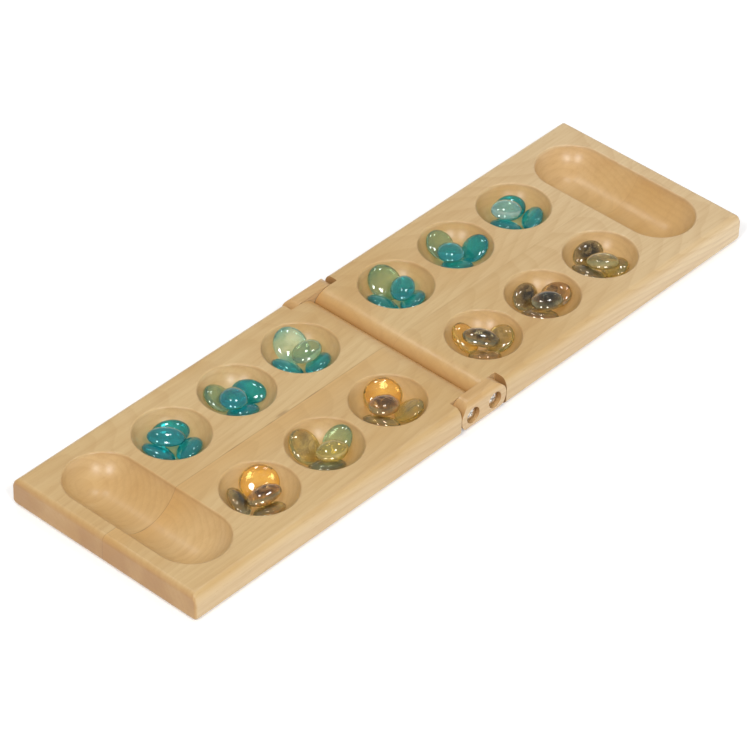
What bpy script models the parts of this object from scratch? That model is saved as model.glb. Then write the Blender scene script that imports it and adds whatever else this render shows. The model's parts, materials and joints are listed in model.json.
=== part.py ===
"""Folding mancala board with wooden link hinges and glass playing stones.

Metres, +Z up. The origin is the middle of the seam, on the table. +X runs
towards the far end and +Y towards the back row. The near half stays put. Each
half turns on its own pair of pivots, so the board folds shut about the links.
"""
import itertools
import math

import bmesh
import bpy
from mathutils import Matrix, Vector
from mathutils.bvhtree import BVHTree

# Board
BOARD_THICKNESS = 0.0180
SEAM_GAP = 0.0004
SEAM_ROUND = 0.0115
LONG_EDGE_ROUND = 0.0045
END_EDGE_ROUND = 0.0036
CORNER_ROUND = 0.0018
FOOT_ROUND = 0.0010

# Hollows and the flat land left between them and out to the edges
PIT_RADIUS = 0.0217
PIT_FLOOR = 0.0035
RIM_EASE = 0.0005
PITS_PER_ROW = 3
SEAM_LAND = 0.0172
PIT_LAND = 0.0064
STORE_LAND = 0.0080
END_LAND = 0.01065
MIDDLE_LAND = 0.0207
SIDE_LAND = 0.0132

# Link hinges: how far a link clears the table and stands over the board, and the
# gap that it leaves between the two tops when the board is shut
LINK_LIFT = 0.0002
LINK_PROUD = 0.0006
SHUT_GAP = 0.0006
LINK_THICKNESS = 0.0088
LINK_EDGE_ROUND = 0.0040
LINK_CLEARANCE = 0.0003
COUNTERBORE_DEPTH = 0.0040
HEAD_CLEARANCE = 0.0005

# Hinge screws
SCREW_HEAD_RADIUS = 0.0045
SCREW_HEAD_HEIGHT = 0.0018
SCREW_HEAD_EDGE = 0.0008
SCREW_SHANK_RADIUS = 0.0020
SCREW_LENGTH = 0.0185
SCREW_TIP_LENGTH = 0.0035
SCREW_CLEARANCE = 0.0003
DRIVE_ARM_LENGTH = 0.0024
DRIVE_ARM_WIDTH = 0.0008
DRIVE_DEPTH = 0.0010

# Glass stones
STONE_LENGTH = 0.0192
STONE_WIDTH = 0.0160
STONE_HEIGHT = 0.0050
STONE_UNDERCUT = 0.0013
STONE_GAP = 0.0003
STONE_PROUD = 0.0001

# Shares of the stone sizes for each shape: length, width, height
STONE_SHAPE_SHARES = {
    "oval": (1.00, 1.00, 1.00),
    "round": (0.94, 1.11, 1.00),
    "long": (1.10, 0.90, 0.98),
    "large": (1.14, 1.28, 1.04),
}

# Working values
CUT_OVERRUN = 0.0040
WELD_DISTANCE = 0.00001
MERGE_DISTANCE = 0.00005
PIT_STEPS = 36
BOWL_RINGS = 5
BEVEL_SEGMENTS = 4
LINK_ARC_STEPS = 12
SCREW_STEPS = 24
DOME_STEPS = 4
STONE_SEGMENTS = 16
STONE_RINGS = 6
AIM_STEPS = 200
SETTLE_ROUNDS = 80
SETTLE_TRIES = 40
LAYING_STEPS = 20
SMOOTH_ANGLE = math.radians(35)

# Sizes and places that follow from those above
ROW_FROM_MIDDLE = MIDDLE_LAND / 2 + PIT_RADIUS
HALF_WIDTH = ROW_FROM_MIDDLE + PIT_RADIUS + SIDE_LAND
PIT_PITCH = 2 * PIT_RADIUS + PIT_LAND
FIRST_PIT_FROM_SEAM = SEAM_LAND + PIT_RADIUS
LAST_PIT_FROM_SEAM = FIRST_PIT_FROM_SEAM + (PITS_PER_ROW - 1) * PIT_PITCH
STORE_FROM_SEAM = LAST_PIT_FROM_SEAM + 2 * PIT_RADIUS + STORE_LAND
HALF_END = STORE_FROM_SEAM + PIT_RADIUS + END_LAND
SEAM_FACE = SEAM_GAP / 2
WIDEST_ROUND = max(SEAM_ROUND, LONG_EDGE_ROUND, END_EDGE_ROUND, CORNER_ROUND, FOOT_ROUND)
LINK_RADIUS = (BOARD_THICKNESS + LINK_PROUD - LINK_LIFT) / 2
PIVOT_HEIGHT = LINK_LIFT + LINK_RADIUS
PIVOT_SPACING = 2 * (BOARD_THICKNESS - PIVOT_HEIGHT) + SHUT_GAP
PIVOT_FROM_SEAM = PIVOT_SPACING / 2
NOTCH_LENGTH = PIVOT_FROM_SEAM + LINK_RADIUS + LINK_CLEARANCE
NOTCH_WALL = HALF_WIDTH - LINK_THICKNESS - LINK_CLEARANCE
COUNTERBORE_RADIUS = SCREW_HEAD_RADIUS + HEAD_CLEARANCE
HEAD_SEAT = HALF_WIDTH - COUNTERBORE_DEPTH + SCREW_CLEARANCE
SCREW_TIP = HEAD_SEAT - SCREW_LENGTH
PIT_DEPTH = BOARD_THICKNESS - PIT_FLOOR
BOWL_RADIUS = (PIT_RADIUS ** 2 + PIT_DEPTH ** 2) / (2 * PIT_DEPTH)
BOWL_CENTRE_RISE = BOWL_RADIUS - PIT_DEPTH
RIM_ANGLE = math.asin(PIT_RADIUS / BOWL_RADIUS)

# Finishes: colour, roughness, metallic, transmission
FINISHES = {
    "wood": ((0.62, 0.40, 0.19), 0.38, 0.0, 0.0),
    "link_wood": ((0.58, 0.33, 0.13), 0.38, 0.0, 0.0),
    "steel": ((0.78, 0.78, 0.80), 0.25, 1.0, 0.0),
    "teal": ((0.02, 0.34, 0.33), 0.05, 0.0, 0.7),
    "sea_green": ((0.42, 0.58, 0.42), 0.05, 0.0, 0.8),
    "ice": ((0.55, 0.72, 0.72), 0.05, 0.0, 0.8),
    "amber": ((0.72, 0.33, 0.03), 0.05, 0.0, 0.7),
    "olive": ((0.36, 0.33, 0.10), 0.05, 0.0, 0.7),
    "smoke": ((0.16, 0.15, 0.12), 0.05, 0.0, 0.7),
    "brown": ((0.32, 0.18, 0.06), 0.05, 0.0, 0.7),
}

# The four stones of each pit, counted from the near end. Those on the bowl's wall have a
# tint, a shape, a bearing round the pit in degrees, a reach up the bowl as a share of the
# rim's angle, and a turn of the long axis from the line up the wall in degrees. Those
# laid on them follow: their reach is a share of the pit's radius, and a last value is
# how far they lean in, in degrees
BACK_ROW_SHARES = [
    [("teal", "oval", 176, 0.36, 62), ("teal", "oval", -64, 0.38, 75),
     ("teal", "long", 48, 0.44, 84), ("teal", "long", 110, 0.16, 30, 8)],
    [("sea_green", "round", 112, 0.42, 0), ("teal", "long", 10, 0.42, 78),
     ("teal", "oval", -112, 0.34, 80), ("teal", "oval", -170, 0.16, 30, 4)],
    [("ice", "large", 70, 0.57, 0), ("teal", "oval", -166, 0.34, 70),
     ("teal", "oval", -80, 0.35, 80), ("sea_green", "oval", -28, 0.18, 40, 9)],
    [("sea_green", "large", 76, 0.57, 0), ("teal", "oval", -172, 0.34, 60),
     ("teal", "oval", -84, 0.35, 70), ("teal", "long", -36, 0.18, 75, 8)],
    [("sea_green", "round", 86, 0.55, 0), ("teal", "round", -20, 0.54, 0),
     ("teal", "oval", -128, 0.30, 80), ("teal", "oval", 176, 0.18, 40, 4)],
    [("teal", "oval", 50, 0.40, 75), ("teal", "long", -60, 0.42, 80),
     ("teal", "oval", -154, 0.34, 80), ("ice", "oval", 120, 0.20, 50, 8)],
]
FRONT_ROW_SHARES = [
    [("amber", "large", 46, 0.56, 80), ("smoke", "long", 150, 0.42, 84),
     ("smoke", "oval", -112, 0.34, 82), ("brown", "long", -66, 0.12, 60, 6)],
    [("sea_green", "oval", 10, 0.56, 10), ("olive", "large", 108, 0.52, 60),
     ("smoke", "long", -128, 0.32, 84), ("amber", "oval", -76, 0.20, 70, 0)],
    [("amber", "large", 50, 0.56, 80), ("olive", "oval", -44, 0.42, 20),
     ("smoke", "long", -150, 0.34, 78), ("brown", "oval", 140, 0.10, 40, 5)],
    [("amber", "oval", 100, 0.50, 20), ("olive", "round", -16, 0.46, 0),
     ("brown", "oval", -128, 0.32, 84), ("smoke", "long", 92, 0.08, 30, 6)],
    [("smoke", "long", 88, 0.44, 80), ("brown", "oval", 8, 0.46, 60),
     ("brown", "long", -146, 0.34, 80), ("smoke", "oval", -80, 0.14, 60, 0)],
    [("smoke", "long", 80, 0.46, 78), ("olive", "oval", -52, 0.36, 50),
     ("smoke", "long", 176, 0.36, 70), ("olive", "oval", -110, 0.14, 60, 4)],
]


def clear_scene():
    """Remove what the scene holds before the model is made."""
    for obj in list(bpy.data.objects):
        bpy.data.objects.remove(obj, do_unlink=True)
    for collection in list(bpy.data.collections):
        bpy.data.collections.remove(collection)


def new_collection(name, parent):
    collection = bpy.data.collections.new(name)
    parent.children.link(collection)
    return collection


def make_material(name):
    """A Principled material with the named finish."""
    colour, roughness, metallic, transmission = FINISHES[name]
    material = bpy.data.materials.new(name)
    material.use_nodes = True
    material.diffuse_color = (*colour, 1.0)
    shader = material.node_tree.nodes["Principled BSDF"]
    shader.inputs["Base Color"].default_value = (*colour, 1.0)
    shader.inputs["Roughness"].default_value = roughness
    shader.inputs["Metallic"].default_value = metallic
    shader.inputs["Transmission Weight"].default_value = transmission
    return material


def new_object(name, mesh, collection, finish=None):
    """An object for a mesh, smooth where its faces meet gently."""
    obj = bpy.data.objects.new(name, mesh)
    collection.objects.link(obj)
    if finish is None:
        obj.hide_render = True
        obj.display_type = 'WIRE'
        return obj
    mesh.materials.append(finish)
    mesh.shade_smooth()
    mesh.set_sharp_from_angle(angle=SMOOTH_ANGLE)
    return obj


def attach(child, parent, matrix):
    """Parent a piece and put it at its own place in the parent's frame."""
    child.parent = parent
    child.matrix_parent_inverse = Matrix.Identity(4)
    child.matrix_basis = matrix


def mesh_from(bm, name):
    mesh = bpy.data.meshes.new(name)
    bm.to_mesh(mesh)
    bm.free()
    return mesh


def block_mesh(name, low, high):
    """A box between two corners."""
    low = Vector(low)
    high = Vector(high)
    bm = bmesh.new()
    placing = Matrix.Translation((low + high) / 2) @ Matrix.Diagonal((*(high - low), 1))
    bmesh.ops.create_cube(bm, size=1, matrix=placing)
    return mesh_from(bm, name)


def outline_mesh(name, points, thickness, matrix):
    """A flat outline with thickness, as a welded mesh placed by a matrix."""
    curve = bpy.data.curves.new(name, 'CURVE')
    curve.dimensions = '2D'
    curve.fill_mode = 'BOTH'
    curve.extrude = thickness / 2
    spline = curve.splines.new('POLY')
    spline.points.add(len(points) - 1)
    for point, (across, along) in zip(spline.points, points):
        point.co = (across, along, 0, 1)
    spline.use_cyclic_u = True
    guide = bpy.data.objects.new(name, curve)
    bpy.context.scene.collection.objects.link(guide)
    depsgraph = bpy.context.evaluated_depsgraph_get()
    flat = bpy.data.meshes.new_from_object(guide.evaluated_get(depsgraph))
    bpy.data.objects.remove(guide)
    bpy.data.curves.remove(curve)
    bm = bmesh.new()
    bm.from_mesh(flat)
    bpy.data.meshes.remove(flat)
    bmesh.ops.remove_doubles(bm, verts=bm.verts, dist=WELD_DISTANCE)
    bmesh.ops.transform(bm, matrix=matrix, verts=bm.verts)
    bmesh.ops.recalc_face_normals(bm, faces=bm.faces)
    return mesh_from(bm, name)


def turned_object(name, profile, steps, collection, finish=None):
    """A profile of radius and height pairs, from top to bottom, turned about Z."""
    bm = bmesh.new()
    verts = [bm.verts.new((radius, 0, height)) for radius, height in profile]
    for upper, lower in zip(verts, verts[1:]):
        bm.edges.new((upper, lower))
    obj = new_object(name, mesh_from(bm, name), collection, finish)
    turn = obj.modifiers.new("turn", 'SCREW')
    turn.axis = 'Z'
    turn.steps = steps
    turn.render_steps = steps
    turn.use_merge_vertices = True
    turn.merge_threshold = WELD_DISTANCE
    turn.use_smooth_shade = True
    return obj


def cut(obj, cutters, operation='DIFFERENCE'):
    """Cut an object with every cutter of a collection."""
    modifier = obj.modifiers.new("cut", 'BOOLEAN')
    modifier.operation = operation
    modifier.solver = 'EXACT'
    modifier.operand_type = 'COLLECTION'
    modifier.collection = cutters
    return modifier


def arc(centre, radius, start, end, steps):
    """Points of an arc, angles in radians."""
    angles = [start + (end - start) * step / steps for step in range(steps + 1)]
    return [(centre[0] + radius * math.cos(angle), centre[1] + radius * math.sin(angle))
            for angle in angles]


def bowl_profile():
    """Half a bowl's outline: over the rim, down its eased edge, along the bowl."""
    edge_radius = math.sqrt(BOWL_RADIUS ** 2 - (BOWL_CENTRE_RISE + RIM_EASE) ** 2)
    edge_angle = math.asin(edge_radius / BOWL_RADIUS)
    points = [(0, RIM_EASE), (edge_radius + 2 * RIM_EASE, RIM_EASE)]
    for ring in range(BOWL_RINGS, -1, -1):
        angle = edge_angle * ring / BOWL_RINGS
        points.append((BOWL_RADIUS * math.sin(angle),
                       BOWL_CENTRE_RISE - BOWL_RADIUS * math.cos(angle)))
    return points


def bowl_cutter(name, half_run, collection):
    """A bowl, drawn out to either side by half_run along Y, mirrored at the middle."""
    bm = bmesh.new()
    verts = [bm.verts.new((radius, 0, height)) for radius, height in bowl_profile()]
    edges = [bm.edges.new(pair) for pair in zip(verts, verts[1:])]
    bmesh.ops.spin(bm, geom=verts + edges, cent=(0, 0, 0), axis=(0, 0, 1),
                   angle=math.pi, steps=PIT_STEPS // 2)
    bmesh.ops.remove_doubles(bm, verts=bm.verts, dist=WELD_DISTANCE)
    if half_run > 0:
        bmesh.ops.translate(bm, vec=(0, half_run, 0), verts=bm.verts)
        mouth = [edge for edge in bm.edges if edge.is_boundary]
        drawn = bmesh.ops.extrude_edge_only(bm, edges=mouth)["geom"]
        ends = [item for item in drawn if isinstance(item, bmesh.types.BMVert)]
        bmesh.ops.translate(bm, vec=(0, -half_run, 0), verts=ends)
    bmesh.ops.recalc_face_normals(bm, faces=bm.faces)
    cutter = new_object(name, mesh_from(bm, name), collection)
    mirror = cutter.modifiers.new("mirror", 'MIRROR')
    mirror.use_axis = (False, True, False)
    mirror.use_mirror_merge = True
    mirror.merge_threshold = MERGE_DISTANCE
    return cutter


def pit_place(index, row_side):
    """The middle of a pit's mouth on the +X half."""
    return Vector((FIRST_PIT_FROM_SEAM + index * PIT_PITCH,
                   row_side * ROW_FROM_MIDDLE, BOARD_THICKNESS))


def weigh_board_edges(mesh):
    """Give each rounded edge of the panel its share of the widest rounding."""
    bm = bmesh.new()
    bm.from_mesh(mesh)
    weights = bm.edges.layers.float.new("bevel_weight_edge")
    for edge in bm.edges:
        run = edge.verts[1].co - edge.verts[0].co
        middle = (edge.verts[0].co + edge.verts[1].co) / 2
        at_end = middle.x > HALF_END / 2
        on_top = middle.z > BOARD_THICKNESS / 2
        if abs(run.x) > 0:
            width = LONG_EDGE_ROUND
        elif abs(run.y) > 0:
            width = END_EDGE_ROUND if at_end else (SEAM_ROUND if on_top else FOOT_ROUND)
        else:
            width = CORNER_ROUND if at_end else 0
        edge[weights] = width / WIDEST_ROUND
    bm.to_mesh(mesh)
    bm.free()


def make_half(name, turn, parts, cutters, wood):
    """One hollowed half. Its own frame is the +X half's, with its pivots' axis as
    its origin, and the near half is the same piece turned round."""
    to_pivot = Matrix.Translation((-PIVOT_FROM_SEAM, 0, -PIVOT_HEIGHT))
    mesh = block_mesh(name, (SEAM_FACE, -HALF_WIDTH, 0),
                      (HALF_END, HALF_WIDTH, BOARD_THICKNESS))
    weigh_board_edges(mesh)
    mesh.transform(to_pivot)
    half = new_object(name, mesh, parts, wood)
    half.matrix_world = Matrix.Rotation(turn, 4, 'Z') @ to_pivot.inverted()
    edges = half.modifiers.new("edges", 'BEVEL')
    edges.limit_method = 'WEIGHT'
    edges.width = WIDEST_ROUND
    edges.segments = BEVEL_SEGMENTS
    edges.use_clamp_overlap = False
    tools = new_collection(name + "_cutters", cutters)
    for row_side in (1, -1):
        for index in range(PITS_PER_ROW):
            pit = bowl_cutter(name + "_pit_cutter", 0, tools)
            attach(pit, half, to_pivot @ Matrix.Translation(pit_place(index, row_side)))
        notch = block_mesh(name + "_notch_cutter",
                           (-CUT_OVERRUN, NOTCH_WALL, -CUT_OVERRUN),
                           (NOTCH_LENGTH, HALF_WIDTH + CUT_OVERRUN,
                            BOARD_THICKNESS + CUT_OVERRUN))
        facing = Matrix.Diagonal((1, row_side, 1, 1))
        notch.transform(facing)
        if row_side < 0:
            notch.flip_normals()
        attach(new_object(notch.name, notch, tools), half, to_pivot)
        hole_radius = SCREW_SHANK_RADIUS + SCREW_CLEARANCE
        hole = turned_object(name + "_pilot_cutter",
                             [(0, HALF_WIDTH), (hole_radius, HALF_WIDTH),
                              (hole_radius, SCREW_TIP - SCREW_CLEARANCE),
                              (0, SCREW_TIP - SCREW_CLEARANCE)], SCREW_STEPS, tools)
        attach(hole, half, Matrix.Rotation(-row_side * math.pi / 2, 4, 'X'))
    store = bowl_cutter(name + "_store_cutter", ROW_FROM_MIDDLE, tools)
    attach(store, half,
           to_pivot @ Matrix.Translation((STORE_FROM_SEAM, 0, BOARD_THICKNESS)))
    cut(half, tools)
    return half


def make_link(name, row_side, parts, cutters, wood, pivot):
    """A link block: round ends about its two pivots, its outer long edges rounded."""
    outline = arc((PIVOT_FROM_SEAM, 0), LINK_RADIUS, -math.pi / 2, math.pi / 2,
                  LINK_ARC_STEPS)
    outline += arc((-PIVOT_FROM_SEAM, 0), LINK_RADIUS, math.pi / 2, 3 * math.pi / 2,
                   LINK_ARC_STEPS)
    middle = HALF_WIDTH - LINK_THICKNESS / 2
    standing = Matrix.Translation((0, middle, 0)) @ Matrix.Rotation(math.pi / 2, 4, 'X')
    link = new_object(name, outline_mesh(name, outline, LINK_THICKNESS, standing),
                      parts, wood)
    turn = Matrix.Rotation(0 if row_side > 0 else math.pi, 4, 'Z')
    attach(link, pivot, Matrix.Translation((PIVOT_FROM_SEAM, 0, 0)) @ turn)
    reach = PIVOT_FROM_SEAM + LINK_RADIUS + CUT_OVERRUN
    bar_mesh = block_mesh(name + "_bar", (-reach, NOTCH_WALL - CUT_OVERRUN, -LINK_RADIUS),
                          (reach, HALF_WIDTH, LINK_RADIUS))
    bm = bmesh.new()
    bm.from_mesh(bar_mesh)
    rounded = [edge for edge in bm.edges
               if all(vert.co.y > NOTCH_WALL for vert in edge.verts)
               and abs(edge.verts[0].co.x - edge.verts[1].co.x) > reach]
    bmesh.ops.bevel(bm, geom=rounded, offset=LINK_EDGE_ROUND, offset_type='OFFSET',
                    segments=BEVEL_SEGMENTS, profile=0.5, affect='EDGES')
    bm.to_mesh(bar_mesh)
    bm.free()
    bars = new_collection(name + "_bars", cutters)
    attach(new_object(bar_mesh.name, bar_mesh, bars), link, Matrix.Identity(4))
    cut(link, bars, 'INTERSECT')
    bores = new_collection(name + "_bores", cutters)
    bore_radius = SCREW_SHANK_RADIUS + SCREW_CLEARANCE
    floor = HALF_WIDTH - COUNTERBORE_DEPTH
    top = HALF_WIDTH + CUT_OVERRUN
    bottom = NOTCH_WALL - CUT_OVERRUN
    profile = [(0, top), (COUNTERBORE_RADIUS, top), (COUNTERBORE_RADIUS, floor),
               (bore_radius, floor), (bore_radius, bottom), (0, bottom)]
    for side in (1, -1):
        bore = turned_object(name + "_bore_cutter", profile, SCREW_STEPS, bores)
        attach(bore, link, Matrix.Translation((side * PIVOT_FROM_SEAM, 0, 0))
               @ Matrix.Rotation(-math.pi / 2, 4, 'X'))
    cut(link, bores)
    return link


def make_screw(name, row_side, parts, cutters, steel, pivot):
    """A pan-head wood screw on a pivot's axis, its tip in the board."""
    crown = HEAD_SEAT + SCREW_HEAD_HEIGHT
    shoulder = HEAD_SEAT + SCREW_HEAD_EDGE
    head_rise = crown - shoulder
    profile = [(0, crown)]
    for step in range(1, DOME_STEPS + 1):
        angle = math.pi / 2 * step / DOME_STEPS
        profile.append((SCREW_HEAD_RADIUS * math.sin(angle),
                        shoulder + head_rise * math.cos(angle)))
    profile += [(SCREW_HEAD_RADIUS, HEAD_SEAT), (SCREW_SHANK_RADIUS, HEAD_SEAT),
                (SCREW_SHANK_RADIUS, SCREW_TIP + SCREW_TIP_LENGTH), (0, SCREW_TIP)]
    screw = turned_object(name, profile, SCREW_STEPS, parts, steel)
    attach(screw, pivot, Matrix.Rotation(-row_side * math.pi / 2, 4, 'X'))
    drive = new_collection(name + "_drive", cutters)
    half = DRIVE_ARM_WIDTH / 2
    corner = [(DRIVE_ARM_LENGTH, -half), (DRIVE_ARM_LENGTH, half), (half, half)]
    cross = []
    for quarter in range(4):
        spin = Matrix.Rotation(quarter * math.pi / 2, 2)
        cross += [tuple(spin @ Vector(point)) for point in corner]
    height = DRIVE_DEPTH + CUT_OVERRUN
    raised = Matrix.Translation((0, 0, crown - DRIVE_DEPTH + height / 2))
    cutter = new_object(name + "_drive_cutter",
                        outline_mesh(name + "_drive_cutter", cross, height, raised), drive)
    attach(cutter, screw, Matrix.Identity(4))
    cut(screw, drive)
    return screw


def stone_mesh(name, shape):
    """A flat-bottomed glass stone standing on Z = 0, its long axis along X."""
    length_share, width_share, height_share = STONE_SHAPE_SHARES[shape]
    dome = STONE_HEIGHT * height_share - STONE_UNDERCUT
    bm = bmesh.new()
    bmesh.ops.create_uvsphere(bm, u_segments=STONE_SEGMENTS, v_segments=STONE_RINGS,
                              radius=1)
    base_height = -math.sin(math.pi / STONE_RINGS)
    next_ring_height = -math.sin(2 * math.pi / STONE_RINGS)
    below_base = (base_height + next_ring_height) / 2
    under = [vert for vert in bm.verts if vert.co.z < below_base]
    bmesh.ops.delete(bm, geom=under, context='VERTS')
    rim = [edge for edge in bm.edges if edge.is_boundary]
    bmesh.ops.contextual_create(bm, geom=rim)
    for vert in bm.verts:
        rise = dome if vert.co.z > 0 else STONE_UNDERCUT / -base_height
        vert.co = Vector((vert.co.x * STONE_LENGTH * length_share / 2,
                          vert.co.y * STONE_WIDTH * width_share / 2,
                          vert.co.z * rise + STONE_UNDERCUT))
    bmesh.ops.recalc_face_normals(bm, faces=bm.faces)
    return mesh_from(bm, name)


class SeatedStone:
    """A stone on the bowl's wall, seen from the centre of the bowl's sphere."""

    def __init__(self, mesh, shape, bearing, reach, turn):
        length_share, width_share, height_share = STONE_SHAPE_SHARES[shape]
        self.mesh = mesh
        self.half_length = STONE_LENGTH * length_share / 2
        self.half_width = STONE_WIDTH * width_share / 2
        self.dome = STONE_HEIGHT * height_share - STONE_UNDERCUT
        self.turn = math.radians(turn)
        room = BOWL_RADIUS - STONE_GAP
        self.base_distance = min(
            vert.co.z + math.sqrt(room ** 2 - vert.co.x ** 2 - vert.co.y ** 2)
            for vert in mesh.vertices)
        self.proud = STONE_PROUD
        self.aim(math.radians(bearing), reach * RIM_ANGLE)

    def aim(self, bearing, slope):
        """Point at a place on the bowl, no higher up than the stone fits."""
        while slope > 0 and self.highest(slope) > self.proud:
            slope -= RIM_ANGLE / AIM_STEPS
        slope = max(slope, 0)
        self.outward = Vector((math.sin(slope) * math.cos(bearing),
                               math.sin(slope) * math.sin(bearing), -math.cos(slope)))
        uphill = Vector((math.cos(slope) * math.cos(bearing),
                         math.cos(slope) * math.sin(bearing), math.sin(slope)))
        self.long_axis = Matrix.Rotation(self.turn, 3, self.outward) @ uphill

    def highest(self, slope):
        """How far the stone's top stands over the board's top."""
        along = math.hypot(self.half_length * math.cos(self.turn),
                           self.half_width * math.sin(self.turn))
        belt = self.base_distance - STONE_UNDERCUT
        support = math.hypot(self.dome * math.cos(slope), along * math.sin(slope))
        return BOWL_CENTRE_RISE - belt * math.cos(slope) + support

    def spread(self, towards):
        """The angle that the stone covers towards a point on the bowl."""
        heading = towards - self.outward * towards.dot(self.outward)
        if heading.length == 0:
            return 0
        turn = heading.angle(self.long_axis)
        half = math.hypot(self.half_length * math.cos(turn),
                          self.half_width * math.sin(turn))
        return math.atan((half + STONE_GAP) / (self.base_distance - STONE_UNDERCUT))

    def push(self, away_from, angle):
        """Slide along the bowl, straight away from another stone."""
        axis = away_from.cross(self.outward)
        if axis.length == 0:
            return
        moved = Matrix.Rotation(angle, 3, axis.normalized()) @ self.outward
        self.aim(math.atan2(moved.y, moved.x), math.acos(min(1, -moved.z)))

    def matrix(self):
        """The stone's place, with the bowl's centre as the origin."""
        inward = -self.outward
        side = inward.cross(self.long_axis)
        turned = Matrix((self.long_axis, side, inward)).transposed().to_4x4()
        return Matrix.Translation(self.outward * self.base_distance) @ turned

    def skin(self):
        """The stone's points and a search tree of its surface."""
        return skin_of(self.mesh, self.matrix())


class LaidStone:
    """A stone laid on those under it, leaning in towards the pit's middle."""

    def __init__(self, mesh, bearing, reach, turn, lean):
        self.mesh = mesh
        self.facing = (Matrix.Rotation(math.radians(bearing), 4, 'Z')
                       @ Matrix.Rotation(math.radians(-lean), 4, 'Y')
                       @ Matrix.Rotation(math.radians(turn), 4, 'Z'))
        outward = Matrix.Rotation(math.radians(bearing), 3, 'Z') @ Vector((1, 0, 0))
        self.place = outward * reach * PIT_RADIUS
        self.place.z = -BOWL_CENTRE_RISE

    def matrix(self):
        """The stone's place, with the bowl's centre as the origin."""
        return Matrix.Translation(self.place) @ self.facing

    def skin(self):
        """The stone's points and a search tree of its surface."""
        return skin_of(self.mesh, self.matrix())

    def is_clear(self, skins):
        """Whether the stone keeps its gap from the bowl and from other stones."""
        points, tree = self.skin()
        if max(point.length for point in points) > BOWL_RADIUS - STONE_GAP:
            return False
        return all(apart((points, tree), other) >= STONE_GAP for other in skins)

    def lower(self, skins):
        """Let the stone down from the board's top until something is in its way."""
        step = PIT_DEPTH
        for _ in range(LAYING_STEPS):
            step /= 2
            self.place.z -= step
            if not self.is_clear(skins):
                self.place.z += step


def skin_of(mesh, placing):
    """A placed mesh's points and a search tree of its surface."""
    points = [placing @ vert.co for vert in mesh.vertices]
    faces = [tuple(face.vertices) for face in mesh.polygons]
    return points, BVHTree.FromPolygons(points, faces)


def apart(first, second):
    """The least distance between two skins, negative where one enters the other."""
    return min(clearance(first[0], second[1]), clearance(second[0], first[1]))


def clearance(points, tree):
    """The least distance from points to a closed surface, negative inside it."""
    least = math.inf
    for point in points:
        place, normal, _, distance = tree.find_nearest(point)
        inside = (point - place).dot(normal) < 0
        least = min(least, -distance if inside else distance)
    return least


def slide_apart(stones):
    """Slide a pit's stones along its wall until none crowds another."""
    for _ in range(SETTLE_ROUNDS):
        for first, second in itertools.combinations(stones, 2):
            apart = first.outward.angle(second.outward)
            wanted = first.spread(second.outward) + second.spread(first.outward)
            if apart < wanted:
                first.push(second.outward, (wanted - apart) / 2)
                second.push(first.outward, (wanted - apart) / 2)


def settle(stones):
    """Seat a pit's stones. Where they crowd, they may stand higher up the wall."""
    for _ in range(SETTLE_TRIES):
        slide_apart(stones)
        skins = [stone.skin() for stone in stones]
        gaps = [apart(first, second)
                for first, second in itertools.combinations(skins, 2)]
        if min(gaps) >= STONE_GAP:
            return
        for stone in stones:
            stone.proud += STONE_GAP


def fill_pit(name, pit, parts, glass):
    """Four stones for one pit, first those on its wall and then those laid on them.
    Each comes with its place, seen from the centre of the bowl's sphere."""
    made = []
    for letter, (tint, shape, *_) in zip("abcd", pit):
        mesh = stone_mesh(f"{name}_{letter}", shape)
        made.append(new_object(mesh.name, mesh, parts, glass[tint]))
    seated = []
    laid = []
    for obj, (_, shape, bearing, reach, turn, *lean) in zip(made, pit):
        if lean:
            laid.append(LaidStone(obj.data, bearing, reach, turn, *lean))
        else:
            seated.append(SeatedStone(obj.data, shape, bearing, reach, turn))
    settle(seated)
    skins = [stone.skin() for stone in seated]
    for stone in laid:
        stone.lower(skins)
        skins.append(stone.skin())
    return [(obj, stone.matrix()) for obj, stone in zip(made, seated + laid)]


def make_stones(halves, parts, glass):
    """The stones of all twelve pits, each pit's on its own half."""
    rows = (("back", 1, BACK_ROW_SHARES), ("front", -1, FRONT_ROW_SHARES))
    for row_name, row_side, row in rows:
        for pit_index, pit in enumerate(row):
            near = pit_index < PITS_PER_ROW
            half = halves["near" if near else "far"]
            step = PITS_PER_ROW - 1 - pit_index if near else pit_index - PITS_PER_ROW
            centre = pit_place(step, row_side)
            centre.x *= -1 if near else 1
            centre.z += BOWL_CENTRE_RISE
            to_half = half.matrix_world.inverted() @ Matrix.Translation(centre)
            name = f"stone_{row_name}_{pit_index + 1}"
            for obj, place in fill_pit(name, pit, parts, glass):
                attach(obj, half, to_half @ place)


def make_pivot(name, side, parent, parts):
    """An empty on a pair of pivots' common axis."""
    pivot = bpy.data.objects.new(name, None)
    parts.objects.link(pivot)
    place = Matrix.Translation((side * PIVOT_FROM_SEAM, 0, PIVOT_HEIGHT))
    if parent is None:
        pivot.matrix_world = place
    else:
        attach(pivot, parent, Matrix.Translation((PIVOT_SPACING, 0, 0)))
    return pivot


def build():
    """Model the whole board."""
    clear_scene()
    root = bpy.context.scene.collection
    parts = new_collection("mancala_board", root)
    cutters = new_collection("cutters", root)
    finish = {name: make_material(name) for name in FINISHES}
    halves = {
        "near": make_half("near_half", math.pi, parts, cutters, finish["wood"]),
        "far": make_half("far_half", 0, parts, cutters, finish["wood"]),
    }
    near_pivot = make_pivot("near_pivot_axis", -1, None, parts)
    far_pivot = make_pivot("far_pivot_axis", 1, near_pivot, parts)
    for row_name, row_side in (("front", -1), ("back", 1)):
        make_link("link_" + row_name, row_side, parts, cutters, finish["link_wood"],
                  near_pivot)
        for half_name, pivot in (("near", near_pivot), ("far", far_pivot)):
            make_screw(f"hinge_screw_{row_name}_{half_name}", row_side, parts, cutters,
                       finish["steel"], pivot)
    make_stones(halves, parts, finish)
    bpy.context.view_layer.update()


build()
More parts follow.
